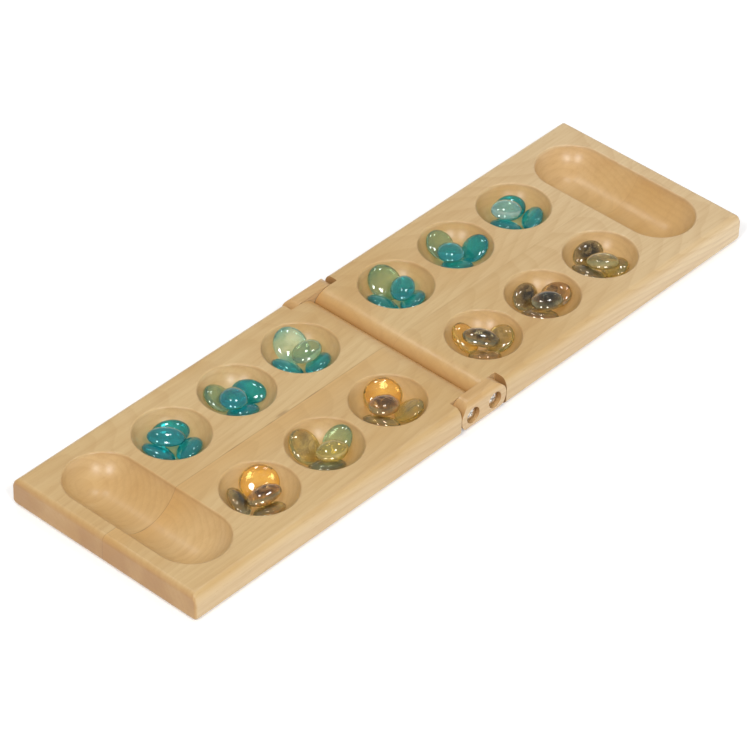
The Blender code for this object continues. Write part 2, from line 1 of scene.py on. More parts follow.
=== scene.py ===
"""A folding mancala board, dressed: lacquered wood, zinc screws and glass stones.

Metres, +Z up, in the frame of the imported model: the origin is the middle of the seam
on the table, +X runs to the far end and +Y to the back row. Each fine piece stands for
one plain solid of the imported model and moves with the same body.
"""
from __future__ import annotations

import json
import logging
import math
from collections.abc import Callable, Iterator, Sequence
from contextlib import contextmanager
from dataclasses import dataclass, field
from enum import Enum
from functools import cached_property, partial, reduce

import bmesh
import bpy
from mathutils import Matrix, Vector

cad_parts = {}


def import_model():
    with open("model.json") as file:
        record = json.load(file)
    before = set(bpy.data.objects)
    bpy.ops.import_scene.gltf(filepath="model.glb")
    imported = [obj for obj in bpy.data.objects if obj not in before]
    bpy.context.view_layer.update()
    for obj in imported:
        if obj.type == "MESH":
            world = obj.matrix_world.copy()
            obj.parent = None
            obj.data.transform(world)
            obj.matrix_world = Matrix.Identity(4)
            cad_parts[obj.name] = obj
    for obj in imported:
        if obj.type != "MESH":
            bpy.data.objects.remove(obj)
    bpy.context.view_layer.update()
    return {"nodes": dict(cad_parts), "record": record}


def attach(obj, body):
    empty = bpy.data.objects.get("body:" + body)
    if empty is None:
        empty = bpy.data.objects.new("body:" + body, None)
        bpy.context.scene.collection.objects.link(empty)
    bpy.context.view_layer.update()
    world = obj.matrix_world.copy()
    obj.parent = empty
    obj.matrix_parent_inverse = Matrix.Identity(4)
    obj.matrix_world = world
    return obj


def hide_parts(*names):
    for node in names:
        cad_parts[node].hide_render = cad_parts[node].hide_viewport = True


logging.basicConfig(level=logging.INFO, format="%(name)s: %(message)s")
LOG = logging.getLogger("mancala_board")

Piece = bpy.types.Object
Material = bpy.types.Material
Socket = bpy.types.NodeSocket
Edge = bmesh.types.BMEdge
Colour = tuple[float, float, float]
Span = tuple[float, float]
Ramp = tuple[float, float, float, float]

WHITE = (1.0, 1.0, 1.0)
BLACK = (0.0, 0.0, 0.0)

# How near points count as one: at a cutting plane, in a mesh and at a mirror.
PLANE_GAP = 0.0000001
MERGE_GAP = 0.000002
MIRROR_GAP = 0.00001

# The angle, in degrees, up to which wood is shaded smooth.
WOOD_ANGLE = 30


class Side(Enum):
    """The two halves of the board, by the way that each runs from the seam."""

    NEAR = -1
    FAR = 1


class Row(Enum):
    """The two rows of pits and the two links, by their side of the middle line."""

    FRONT = -1
    BACK = 1


class Element(Enum):
    """What a selection in edit mode is made of."""

    VERT = "VERT"
    EDGE = "EDGE"
    FACE = "FACE"


class StoneForm(Enum):
    """The shapes that the glass stones come in: length, width and lumpiness."""

    OVAL = (0.0192, 0.0160, 0.00045)
    ROUND = (0.0180, 0.0178, 0.00035)
    LONG = (0.0211, 0.0144, 0.00055)
    PEBBLE = (0.0190, 0.0162, 0.00070)


def srgb(red: int, green: int, blue: int) -> Colour:
    """A colour of the screen, 0 to 255, as linear shares.

    Args:
        red: Its red.
        green: Its green.
        blue: Its blue.

    Returns:
        The three shares.
    """
    def linear(level: int) -> float:
        """One channel as a linear share."""
        share = level / 255
        return share / 12.92 if share <= 0.04045 else ((share + 0.055) / 1.055) ** 2.4

    return linear(red), linear(green), linear(blue)


def standing(place: Sequence[float], axes: Sequence[Vector]) -> Matrix:
    """The place of something that stands here, along these three axes."""
    return Matrix.Translation(place) @ Matrix(axes).transposed().to_4x4()


def stand_in(piece: Piece, node: str, body: str) -> None:
    """Put a fine piece on its body, in place of a plain solid.

    Args:
        piece: The fine piece.
        node: The plain solid that it stands for.
        body: The body that it moves with.
    """
    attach(piece, body)
    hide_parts(node)
    LOG.info("%s: %d faces on %s", piece.name, len(piece.data.polygons), body)


def hold(*pieces: Piece) -> None:
    """Select only these pieces, the last one active.

    Args:
        pieces: The pieces; with none, everything is deselected.
    """
    bpy.ops.object.select_all(action="DESELECT")
    for piece in pieces:
        piece.select_set(True)
        bpy.context.view_layer.objects.active = piece


@contextmanager
def editing(piece: Piece) -> Iterator[None]:
    """Edit a piece's mesh for as long as the block runs.

    Args:
        piece: The piece that is edited.
    """
    hold(piece)
    bpy.ops.object.mode_set(mode="EDIT")
    try:
        yield
    finally:
        bpy.ops.object.mode_set(mode="OBJECT")


def pick(piece: Piece, element: Element, wanted: Callable) -> None:
    """Select, in edit mode, the elements that pass a test and nothing else.

    Args:
        piece: The object being edited.
        element: Whether vertices, edges or faces are selected.
        wanted: Says of one element whether it is selected.
    """
    bpy.ops.mesh.select_mode(type=element.value)
    bpy.ops.mesh.select_all(action="DESELECT")
    cage = bmesh.from_edit_mesh(piece.data)
    groups = {Element.VERT: cage.verts, Element.EDGE: cage.edges,
              Element.FACE: cage.faces}
    for item in [item for item in groups[element] if wanted(item)]:
        item.select_set(True)
    cage.select_flush_mode()
    bmesh.update_edit_mesh(piece.data)


def turns(edge: Edge, angle: float) -> bool:
    """Whether the faces beside an edge turn by at least an angle."""
    return len(edge.link_faces) == 2 and edge.calc_face_angle() >= angle


def round_off(piece: Piece, wanted: Callable, width: float, steps: int,
              clamp: bool = False) -> None:
    """Bevel the edges that pass a test.

    Args:
        piece: The object whose edges are rounded.
        wanted: Says of one edge whether it is rounded.
        width: The rounding's width.
        steps: The steps across it.
        clamp: Whether roundings stop where they would overlap.
    """
    with editing(piece):
        pick(piece, Element.EDGE, wanted)
        bpy.ops.mesh.bevel(offset=width, segments=steps, affect="EDGES",
                           clamp_overlap=clamp)


def pick_all() -> None:
    """Select the whole mesh in edit mode."""
    bpy.ops.mesh.select_all(action="SELECT")


def tidy() -> None:
    """Merge doubles and turn every face outwards, in edit mode."""
    pick_all()
    bpy.ops.mesh.remove_doubles(threshold=MERGE_GAP)
    bpy.ops.mesh.normals_make_consistent(inside=False)


def push_ring(rise: float, spread: float, centre: Vector) -> None:
    """Extrude the selected ring upwards and widen it about a centre.

    Args:
        rise: How far it goes up.
        spread: Its new width as a share of the old one.
        centre: The point that it widens about.
    """
    bpy.ops.mesh.extrude_region_move(
        TRANSFORM_OT_translate={"value": (0.0, 0.0, rise)})
    bpy.ops.transform.resize(value=(spread, spread, 1.0),
                             center_override=tuple(centre))


def settle(piece: Piece) -> None:
    """Apply a piece's place, so that it sits at the origin."""
    hold(piece)
    bpy.ops.object.transform_apply(location=True, rotation=True, scale=True)


def named(name: str) -> Piece:
    """Name the piece that was just added, and apply its place.

    Args:
        name: Its name.

    Returns:
        The piece, sitting at the origin.
    """
    piece = bpy.context.active_object
    piece.name = name
    piece.data.name = name
    settle(piece)
    return piece


def block(name: str, low: Sequence[float], high: Sequence[float]) -> Piece:
    """A cube between two corners.

    Args:
        name: The object's name.
        low: The lowest corner.
        high: The highest corner.

    Returns:
        The new object.
    """
    hold()
    bpy.ops.mesh.primitive_cube_add(
        size=1, location=[(a + b) / 2 for a, b in zip(low, high)],
        scale=[b - a for a, b in zip(low, high)])
    return named(name)


def rod(name: str, radius: float, low: Sequence[float], high: Sequence[float],
        vertices: int) -> Piece:
    """A cylinder from one point to another.

    Args:
        name: The object's name.
        radius: Its radius.
        low: The middle of one end.
        high: The middle of the other end.
        vertices: The steps round it.

    Returns:
        The new object.
    """
    run = Vector(high) - Vector(low)
    hold()
    bpy.ops.mesh.primitive_cylinder_add(
        vertices=vertices, radius=radius, depth=run.length,
        location=(Vector(low) + Vector(high)) / 2,
        rotation=run.to_track_quat("Z", "Y").to_euler())
    return named(name)


def modify(piece: Piece, kind: str, **values: object) -> None:
    """Give a piece a modifier.

    Args:
        piece: The piece.
        kind: The modifier's type.
        values: Its settings by their names.
    """
    modifier = piece.modifiers.new(kind.lower(), kind)
    for key, value in values.items():
        setattr(modifier, key, value)


def bake(piece: Piece) -> None:
    """Apply every modifier of a piece, in their order.

    Args:
        piece: The piece.
    """
    hold(piece)
    for modifier in list(piece.modifiers):
        bpy.ops.object.modifier_apply(modifier=modifier.name)


def put_away(*pieces: Piece) -> None:
    """Take tools and masters away once they have served."""
    for piece in pieces:
        bpy.data.objects.remove(piece, do_unlink=True)


def cut(piece: Piece, tools: Sequence[Piece], operation: str = "DIFFERENCE") -> None:
    """Cut a piece with tools, and put the tools away.

    Args:
        piece: The object that is cut.
        tools: The objects that cut it, which are removed.
        operation: The Boolean modifier's operation.
    """
    rack = bpy.data.collections.new("tools")
    bpy.context.scene.collection.children.link(rack)
    for tool in tools:
        for home in list(tool.users_collection):
            home.objects.unlink(tool)
        rack.objects.link(tool)
    modify(piece, "BOOLEAN", operation=operation, solver="EXACT",
           operand_type="COLLECTION", collection=rack)
    bake(piece)
    put_away(*tools)
    bpy.data.collections.remove(rack)


def smooth(piece: Piece, degrees: float) -> None:
    """Shade a piece smooth up to an angle, with flat faces kept flat.

    Args:
        piece: The piece.
        degrees: The angle.
    """
    hold(piece)
    bpy.ops.object.shade_smooth_by_angle(angle=math.radians(degrees))
    modify(piece, "WEIGHTED_NORMAL", keep_sharp=True)
    bake(piece)


def coat(piece: Piece, material: Material) -> None:
    """Give a piece its one material."""
    piece.data.materials.clear()
    piece.data.materials.append(material)


def copied(piece: Piece, name: str, place: Matrix) -> Piece:
    """A copy of a piece with its own mesh, put in its place.

    Args:
        piece: The object that is copied.
        name: The copy's name.
        place: Where the copy goes, which ends up in its mesh.

    Returns:
        The copy, sitting at the origin.
    """
    twin = piece.copy()
    twin.data = piece.data.copy()
    twin.name = name
    twin.data.name = name
    bpy.context.scene.collection.objects.link(twin)
    twin.matrix_world = place
    settle(twin)
    return twin


def place_pair(master: Piece, wood: Material, ends: dict[str, int]) -> None:
    """Finish a wooden master and put two pieces of it on their bodies.

    Args:
        master: The cut shape, which is removed.
        wood: What it is made of.
        ends: 1 for the piece that lies as the master does and -1 for the one that is
            turned round, by the names that their plain solids and bodies share.
    """
    with editing(master):
        tidy()
    smooth(master, WOOD_ANGLE)
    coat(master, wood)
    for node, end in ends.items():
        turn = Matrix.Rotation(0 if end > 0 else math.pi, 4, "Z")
        stand_in(copied(master, f"{node}_wood", turn), node, node)
    put_away(master)


@dataclass(frozen=True)
class Noise:
    """A soft noise: blobs to a metre along each axis, its shift and its character."""

    scale: tuple[float, float, float]
    shift: tuple[float, float, float] = (0, 0, 0)
    detail: float = 2.0
    roughness: float = 0.5
    distortion: float = 0.0


class Graph:
    """A short way to write the nodes of a material or of the room's light."""

    # Where the Mix node takes and gives colours.
    MIX_COLOURS = (6, 7)
    MIXED_COLOUR = 2

    def __init__(self, owner: Material | bpy.types.World,
                 shader: str = "Principled BSDF") -> None:
        """Start from the shader that an owner has, and its coordinates.

        Args:
            owner: The material or world that the nodes belong to.
            shader: The name of its shader's node.
        """
        owner.use_nodes = True
        self.owner = owner
        self.nodes = owner.node_tree.nodes
        self.links = owner.node_tree.links
        self.shader = self.nodes[shader]
        coordinates = self.nodes.new("ShaderNodeTexCoord").outputs
        self.place = coordinates["Object"]
        self.facing = coordinates["Normal"]
        self.bearing = coordinates["Generated"]

    @cached_property
    def axes(self) -> bpy.types.NodeOutputs:
        """The X, Y and Z of the object coordinates."""
        return self.parts(self.place)

    def put(self, socket: Socket, value: object) -> None:
        """Link a socket to an output, or set it.

        Args:
            socket: The socket.
            value: The output, or a plain value.
        """
        if isinstance(value, Socket):
            self.links.new(value, socket)
        else:
            socket.default_value = value

    def constants(self, **values: object) -> None:
        """Set sockets of the shader, with _ for a space in each name."""
        for key, value in values.items():
            self.shader.inputs[key.replace("_", " ")].default_value = value

    def noise(self, noise: Noise) -> Socket:
        """A soft noise over the piece.

        Args:
            noise: Its scale, shift and character.

        Returns:
            The noise, from 0 to 1.
        """
        mapping = self.nodes.new("ShaderNodeMapping")
        self.put(mapping.inputs["Vector"], self.place)
        mapping.inputs["Scale"].default_value = noise.scale
        mapping.inputs["Location"].default_value = noise.shift
        node = self.nodes.new("ShaderNodeTexNoise")
        for key, value in (("Vector", mapping.outputs["Vector"]), ("Scale", 1.0),
                           ("Detail", noise.detail), ("Roughness", noise.roughness),
                           ("Distortion", noise.distortion)):
            self.put(node.inputs[key], value)
        return node.outputs["Fac"]

    def maths(self, operation: str, *values: object) -> Socket:
        """One step of arithmetic.

        Args:
            operation: The Math node's operation.
            values: Numbers or outputs, in order.

        Returns:
            The result.
        """
        node = self.nodes.new("ShaderNodeMath")
        node.operation = operation
        for socket, value in zip(node.inputs, values):
            self.put(socket, value)
        return node.outputs["Value"]

    def times(self, *values: object) -> Socket:
        """Numbers or outputs multiplied together."""
        return reduce(partial(self.maths, "MULTIPLY"), values)

    def spread(self, value: object, low: float, high: float, to_low: float = 0.0,
               to_high: float = 1.0) -> Socket:
        """A value moved smoothly from one range to another, and held there.

        Args:
            value: A number or an output.
            low: The first range's start.
            high: The first range's end.
            to_low: The new range's start.
            to_high: The new range's end.

        Returns:
            The moved value.
        """
        node = self.nodes.new("ShaderNodeMapRange")
        node.interpolation_type = "SMOOTHSTEP"
        for key, number in (("Value", value), ("From Min", low), ("From Max", high),
                            ("To Min", to_low), ("To Max", to_high)):
            self.put(node.inputs[key], number)
        return node.outputs["Result"]

    def blend(self, share: object, first: object, second: object) -> Socket:
        """Two colours mixed.

        Args:
            share: How much of the second colour shows.
            first: The colour underneath.
            second: The colour on top.

        Returns:
            The mixed colour.
        """
        node = self.nodes.new("ShaderNodeMix")
        node.data_type = "RGBA"
        self.put(node.inputs["Factor"], share)
        for index, colour in zip(self.MIX_COLOURS, (first, second)):
            self.put(node.inputs[index],
                     (*colour, 1.0) if isinstance(colour, tuple) else colour)
        return node.outputs[self.MIXED_COLOUR]

    def parts(self, vector: Socket) -> bpy.types.NodeOutputs:
        """The three parts of a vector.

        Args:
            vector: The vector.

        Returns:
            The outputs for X, Y and Z.
        """
        node = self.nodes.new("ShaderNodeSeparateXYZ")
        self.put(node.inputs[0], vector)
        return node.outputs

    def close(self, kind: str, *sources: Socket) -> None:
        """End the material in a node that joins other outputs.

        Args:
            kind: The node's type.
            sources: The outputs, in its sockets' order.
        """
        node = self.nodes.new(kind)
        for socket, source in zip(node.inputs, sources):
            self.links.new(source, socket)
        self.links.new(node.outputs[0], self.nodes["Material Output"].inputs[0])

    def let_lamps_through(self, tint: Socket, share: float) -> None:
        """Let lamplight through the surface, tinted, onto what lies under it.

        Args:
            tint: The colour that one crossing of the surface gives the light.
            share: How much of the light each crossing leaves.
        """
        clear = self.nodes.new("ShaderNodeBsdfTransparent")
        self.put(clear.inputs["Color"], self.blend(share, BLACK, tint))
        path = self.nodes.new("ShaderNodeLightPath")
        self.close("ShaderNodeMixShader", path.outputs["Is Shadow Ray"],
                   self.shader.outputs[0], clear.outputs[0])

    def relief(self, height: Socket, distance: float, strength: float) -> None:
        """Raise the surface by a height map.

        Args:
            height: The map.
            distance: The real height of one step of it.
            strength: How much of that shows.
        """
        node = self.nodes.new("ShaderNodeBump")
        node.inputs["Distance"].default_value = distance
        node.inputs["Strength"].default_value = strength
        self.put(node.inputs["Height"], height)
        self.put(self.shader.inputs["Normal"], node.outputs["Normal"])


@dataclass(frozen=True)
class WoodFinish:
    """Pale hardwood under clear satin lacquer, glued up from two strips.

    A ramp gives the two ends of a range and the two numbers that they become.
    """

    name: str
    pale: Colour
    deep: Colour
    late: Colour
    end: Colour
    ring_spacing: float = 0.0034
    strips: bool = True
    # The colour of the painted shade in the hollows and the seam's groove, and of the
    # darker band beside the glue line.
    shade_and_glue_band: Colour = srgb(212, 164, 96)
    # The colour of the painted light on the front faces and towards the far end, and of
    # the painted highlight in the far store.
    painted_light_tone: Colour = srgb(234, 208, 166)
    stained: Colour = srgb(160, 112, 66)
    glue: Colour = srgb(128, 84, 44)
    drift: Noise = Noise((9, 26, 26), (3, 1, 7), 3.0, 0.55)
    cloud: Noise = Noise((17, 42, 30), (8, 5, 2))
    fibre: Noise = Noise((26, 760, 760), detail=3.0, roughness=0.62)
    streak: Noise = Noise((7, 170, 170), (1, 9, 4), 3.0, 0.6)
    fleck: Noise = Noise((190, 2100, 2100), (5, 2, 9), 1.0)
    worn: Noise = Noise((35, 60, 60), (2, 2, 6), 3.0, 0.6)
    broken: Noise = Noise((38, 4, 4))
    sway: Noise = Noise((6.5, 11, 11), detail=1.5)
    flutter: Noise = Noise((30, 70, 70))
    sway_reach: float = 0.030
    flutter_reach: float = 0.0022
    heart_place: float = 0.052
    heart_step: float = -0.062
    heart_depth: float = 0.055
    heart_lean: float = 0.055
    heart_dip: float = 0.16
    ring_share: float = 0.17
    ring_end: float = 0.93
    ring_start: float = 0.35
    tone_span: Span = (0.32, 0.70)
    tone_share: float = 0.72
    front_warmth: float = 0.16
    cloud_ramp: Ramp = (0.52, 0.72, 0.0, 0.22)
    streak_ramp: Ramp = (0.45, 0.80, 0.0, 0.30)
    fibre_ramp: Ramp = (0.40, 0.78, 0.0, 0.22)
    fleck_ramp: Ramp = (0.66, 0.78, 0.0, 0.28)
    open_ramp: Ramp = (0.10, 0.98, 0.0, 0.60)
    hollow_closed: float = -0.85
    end_span: Span = (0.80, 1.0)
    stain_ramp: Ramp = (0.38, 0.62, 0.05, 0.45)
    line_width: Ramp = (0.45, 0.75, 0.00012, 0.00040)
    line_fade: Ramp = (-0.03, 0.02, 0.50, 0.14)
    knot_place: float = -0.0865
    knot_sway: float = -0.0016
    knot_length: Ramp = (0.0010, 0.0065, 0.45, 0.0)
    knot_width: Ramp = (0.0002, 0.0016, 1.0, 0.0)
    hollow_floor: Span = (0.0015, 0.0030)
    hollow_levels: Ramp = (0.0160, 0.0179, 1.0, 0.0)
    hollow_sides: Ramp = (0.0550, 0.0610, 1.0, 0.0)
    hollow_start: Span = (0.0125, 0.0170)
    hollow_end: Ramp = (0.2125, 0.2160, 1.0, 0.0)
    # Painted shade in the hollows, growing towards the far end, and in the groove along
    # the seam.
    hollow_shade_ramp: Ramp = (-0.2125, 0.2125, 0.18, 0.38)
    seam_shade_ramp: Ramp = (0.0, 0.0125, 0.78, 0.0)
    line_tint: Ramp = (-0.0220, 0.0, 0.0, 0.38)
    line_end: Ramp = (-0.02, 0.02, 1.0, 0.0)
    # Painted light: outside the hollows the far half is painted paler towards its end.
    far_light_ramp: Ramp = (0.02, 0.2160, 0.0, 0.62)
    # Painted highlight: the back of the far store's hollow is painted paler.
    highlight_along: Span = (0.150, 0.175)
    highlight_across: Ramp = (0.012, 0.045, 0.0, 0.45)
    # Painted light: faces that look to the front, towards the lamps, are painted paler.
    front_light_ramp: Ramp = (-1.0, -0.7, 0.42, 0.0)
    gloss_ramp: Ramp = (0.30, 0.75, 0.29, 0.42)
    open_gloss: float = 0.10
    coat: float = 0.22
    coat_roughness: float = 0.28
    lacquer_index: float = 1.48
    specular: float = 0.45
    ring_relief: float = -0.35
    fleck_relief: float = -0.25
    relief_depth: float = 0.00006
    relief_strength: float = 0.35

    def tints(self, graph: Graph) -> tuple[Socket, ...]:
        """Tell where shade and light are painted into the wood's colour.

        Args:
            graph: The material's nodes.

        Returns:
            1 in the hollows; the share of painted shade, in the hollows and in the groove
            along the seam, with a darker band beside the glue line on the near front
            strip;
            and the share of painted light, paler towards the far end, with a painted
            highlight on the back of the far store's hollow.
        """
        x, y, z = graph.axes
        along = graph.maths("ABSOLUTE", x)
        inside = graph.times(
            graph.spread(z, *self.hollow_levels),
            graph.spread(z, *self.hollow_floor),
            graph.spread(graph.maths("ABSOLUTE", y), *self.hollow_sides),
            graph.spread(along, *self.hollow_start),
            graph.spread(along, *self.hollow_end))
        # A darker band beside the glue line on the near front strip.
        beside = graph.times(graph.spread(y, *self.line_tint),
                             graph.maths("LESS_THAN", y, 0.0),
                             graph.spread(x, *self.line_end))
        seam = graph.maths("MAXIMUM", graph.spread(along, *self.seam_shade_ramp), beside)
        # Painted shade: the hollows and the groove along the seam are painted darker and
        # more orange, together with the band beside the glue line.
        shade_and_glue_band = graph.maths("MULTIPLY_ADD", inside, graph.spread(
            x, *self.hollow_shade_ramp), seam)
        # Painted highlight: the back of the far store's hollow is painted paler.
        painted_highlight = graph.times(graph.spread(x, *self.highlight_along),
                            graph.spread(y, *self.highlight_across))
        # Painted light: outside the hollows the far half is painted paler towards its end,
        # where the lamps give less light.
        far = graph.times(graph.spread(x, *self.far_light_ramp),
                          graph.maths("SUBTRACT", 1.0, inside))
        return inside, shade_and_glue_band, graph.maths("MULTIPLY_ADD", painted_highlight, inside, far)

    def strip_marks(self, graph: Graph) -> tuple[Socket, Socket]:
        """Tell the glued strips apart and draw the line between them.

        Args:
            graph: The material's nodes.

        Returns:
            1 on the front strips and 0 on the back ones, and the glue line's strength,
            with one small dark knot beside it.
        """
        x, y, _ = graph.axes
        broken = graph.noise(self.broken)
        line = graph.times(
            graph.maths("LESS_THAN", graph.maths("ABSOLUTE", y),
                        graph.spread(broken, *self.line_width)),
            graph.spread(x, *self.line_fade))
        along = graph.maths("ABSOLUTE", graph.maths("SUBTRACT", x, self.knot_place))
        across = graph.maths("ABSOLUTE", graph.maths("MULTIPLY_ADD", broken,
                                                     self.knot_sway, y))
        knot = graph.times(graph.spread(along, *self.knot_length),
                           graph.spread(across, *self.knot_width))
        front = graph.maths("LESS_THAN", y, 0.0)
        return front, graph.maths("MAXIMUM", line, knot)

    def rings(self, graph: Graph, front: object) -> Socket:
        """Growth rings about a heart that runs nearly along the board.

        Args:
            graph: The material's nodes.
            front: 1 on the front strips, whose heart lies elsewhere.

        Returns:
            0 in the pale early wood, rising to 1 at each late ring's line.
        """
        x, y, z = graph.axes
        swing, shiver = (
            graph.times(graph.maths("SUBTRACT", graph.noise(noise), 0.5), reach)
            for noise, reach in ((self.sway, self.sway_reach),
                                 (self.flutter, self.flutter_reach)))
        heart = graph.maths("MULTIPLY_ADD", front, self.heart_step, self.heart_place)
        across = graph.maths("ADD", graph.maths("SUBTRACT", y, heart),
                             graph.times(x, self.heart_lean))
        across = graph.maths("ADD", across, swing)
        below = graph.maths("MULTIPLY_ADD", x, self.heart_dip, self.heart_depth)
        depth = graph.maths("ADD", graph.maths("ADD", z, below), swing)
        reach = graph.maths("SQRT", graph.maths("ADD", graph.times(across, across),
                                                graph.times(depth, depth)))
        share = graph.maths("FRACT", graph.maths(
            "DIVIDE", graph.maths("ADD", reach, shiver), self.ring_spacing))
        return graph.times(graph.spread(share, self.ring_start, self.ring_end),
                           graph.spread(share, self.ring_end, 1.0, 1.0, 0.0))

    def grain(self, graph: Graph) -> tuple[Socket, ...]:
        """Paint the wood as it lies in the board, with painted light and shade on it, and
        find where its ends are open.

        Args:
            graph: The material's nodes.

        Returns:
            The rings, the fibre and the flecks, for the relief, and the share of open
            grain, for the gloss.
        """
        front, line = self.strip_marks(graph) if self.strips else (1.0, 0.0)
        ring = self.rings(graph, front)
        fibre, fleck, cloud = (graph.noise(noise)
                               for noise in (self.fibre, self.fleck, self.cloud))
        tone = graph.times(graph.spread(graph.noise(self.drift), *self.tone_span),
                           self.tone_share)
        warm = graph.maths("MULTIPLY_ADD", front, self.front_warmth, tone)
        colour = graph.blend(warm, self.pale, self.deep)
        colour = graph.blend(graph.spread(cloud, *self.cloud_ramp), colour, self.pale)
        facing = graph.parts(graph.facing)
        # Painted light: faces that look to the front, towards the lamps, are painted
        # paler.
        painted_light = graph.spread(facing[1], *self.front_light_ramp)
        endwise = graph.maths("ABSOLUTE", facing[0])
        open_grain = graph.spread(endwise, *self.open_ramp)
        shade_and_glue_band = 0.0
        if self.strips:
            inside, shade_and_glue_band, far = self.tints(graph)
            painted_light = graph.maths("ADD", far, painted_light)
            open_grain = graph.times(open_grain, graph.maths(
                "MULTIPLY_ADD", inside, self.hollow_closed, 1.0))
        stained = graph.times(graph.spread(endwise, *self.end_span),
                              graph.spread(cloud, *self.stain_ramp))
        # Painted light and painted shade are blended first; then the rings, streaks,
        # fibre, flecks, end grain, stain, glue line and knot.
        for share, shade in (
                (painted_light, self.painted_light_tone), (shade_and_glue_band, self.shade_and_glue_band),
                (graph.times(ring, self.ring_share), self.late),
                (graph.spread(graph.noise(self.streak), *self.streak_ramp), self.late),
                (graph.spread(fibre, *self.fibre_ramp), self.late),
                (graph.spread(fleck, *self.fleck_ramp), self.end),
                (open_grain, self.end), (stained, self.stained), (line, self.glue)):
            colour = graph.blend(share, colour, shade)
        graph.put(graph.shader.inputs["Base Color"], colour)
        return ring, fibre, fleck, open_grain

    def build(self) -> Material:
        """Make the material.

        Returns:
            The wood.
        """
        graph = Graph(bpy.data.materials.new(self.name))
        ring, fibre, fleck, open_grain = self.grain(graph)
        gloss = graph.spread(graph.noise(self.worn), *self.gloss_ramp)
        graph.put(graph.shader.inputs["Roughness"],
                  graph.maths("MULTIPLY_ADD", open_grain, self.open_gloss, gloss))
        graph.constants(Coat_Weight=self.coat, Coat_Roughness=self.coat_roughness,
                        Coat_IOR=self.lacquer_index, IOR=self.lacquer_index,
                        Specular_IOR_Level=self.specular)
        height = graph.maths("MULTIPLY_ADD", ring, self.ring_relief, fibre)
        height = graph.maths("MULTIPLY_ADD", fleck, self.fleck_relief, height)
        graph.relief(height, self.relief_depth, self.relief_strength)
        return graph.owner


@dataclass(frozen=True)
class SteelFinish:
    """Bright zinc plate, brushed a little by the driver."""

    name: str = "bright_zinc"
    colour: Colour = srgb(240, 238, 234)
    shade: Colour = srgb(212, 209, 204)
    spots: Noise = Noise((900, 900, 900), detail=3.0, roughness=0.6)
    rubbed: Noise = Noise((240, 2600, 2600), roughness=0.6)
    spot_span: Span = (0.35, 0.75)
    gloss_ramp: Ramp = (0.3, 0.7, 0.22, 0.38)
    relief_depth: float = 0.00002
    relief_strength: float = 0.25

    def build(self) -> Material:
        """Make the material.

        Returns:
            The plated steel.
        """
        graph = Graph(bpy.data.materials.new(self.name))
        spots, rubbed = graph.noise(self.spots), graph.noise(self.rubbed)
        graph.put(graph.shader.inputs["Base Color"], graph.blend(
            graph.spread(spots, *self.spot_span), self.colour, self.shade))
        graph.put(graph.shader.inputs["Roughness"],
                  graph.spread(rubbed, *self.gloss_ramp))
        graph.constants(Metallic=1.0)
        graph.relief(graph.maths("ADD", rubbed, spots), self.relief_depth,
                     self.relief_strength)
        return graph.owner


@dataclass(frozen=True)
class GlassFinish:
    """Tinted glass with cloudy swirls, a little different towards its edge."""

    name: str
    body: Colour
    swirl: Colour
    edge: Colour
    swirl_share: float = 0.6
    edge_shares: Span = (0.35, 0.85)
    crown_share: float = 0.0
    clear: float = 0.84
    light_through: float = 0.80
    light_tint: float = 0.5
    bent: Noise = Noise((130, 130, 130), (4, 8, 1))
    turned: Noise = Noise((110, 130, 190), (7, 3, 5), 3.0, 0.62, 1.4)
    dimples: Noise = Noise((420, 420, 420), (6, 2, 8), roughness=0.6)
    crown_span: Span = (0.50, 1.0)
    swirl_span: Span = (0.43, 0.66)
    edge_span: Span = (0.30, 0.95)
    bent_span: Span = (0.35, 0.65)
    gloss_ramp: Ramp = (0.3, 0.8, 0.02, 0.07)
    index: float = 1.50
    skin: float = 0.80
    skin_roughness: float = 0.02
    dimple_share: float = 0.34
    relief_depth: float = 0.0008
    relief_strength: float = 0.28

    def build(self) -> Material:
        """Make the material.

        Returns:
            The glass.
        """
        graph = Graph(bpy.data.materials.new(self.name))
        bent = graph.noise(self.bent)
        rim = graph.nodes.new("ShaderNodeAttribute")
        rim.attribute_name = "rim_share"
        outwards = rim.outputs["Fac"]
        crown = graph.spread(outwards, *self.crown_span, self.crown_share, 0.0)
        swirl = graph.spread(graph.maths("ADD", graph.noise(self.turned), crown),
                             *self.swirl_span, 0.0, self.swirl_share)
        edge = graph.times(graph.spread(outwards, *self.edge_span),
                           graph.spread(bent, *self.bent_span, *self.edge_shares))
        colour = graph.blend(edge, graph.blend(swirl, self.body, self.swirl), self.edge)
        graph.put(graph.shader.inputs["Base Color"], colour)
        graph.put(graph.shader.inputs["Roughness"], graph.spread(bent, *self.gloss_ramp))
        graph.constants(Transmission_Weight=self.clear, IOR=self.index,
                        Coat_Weight=self.skin, Coat_IOR=self.index,
                        Coat_Roughness=self.skin_roughness)
        graph.let_lamps_through(graph.blend(self.light_tint, WHITE, colour),
                                self.light_through)
        height = graph.maths("MULTIPLY_ADD", graph.noise(self.dimples),
                             self.dimple_share, bent)
        graph.relief(height, self.relief_depth, self.relief_strength)
        return graph.owner


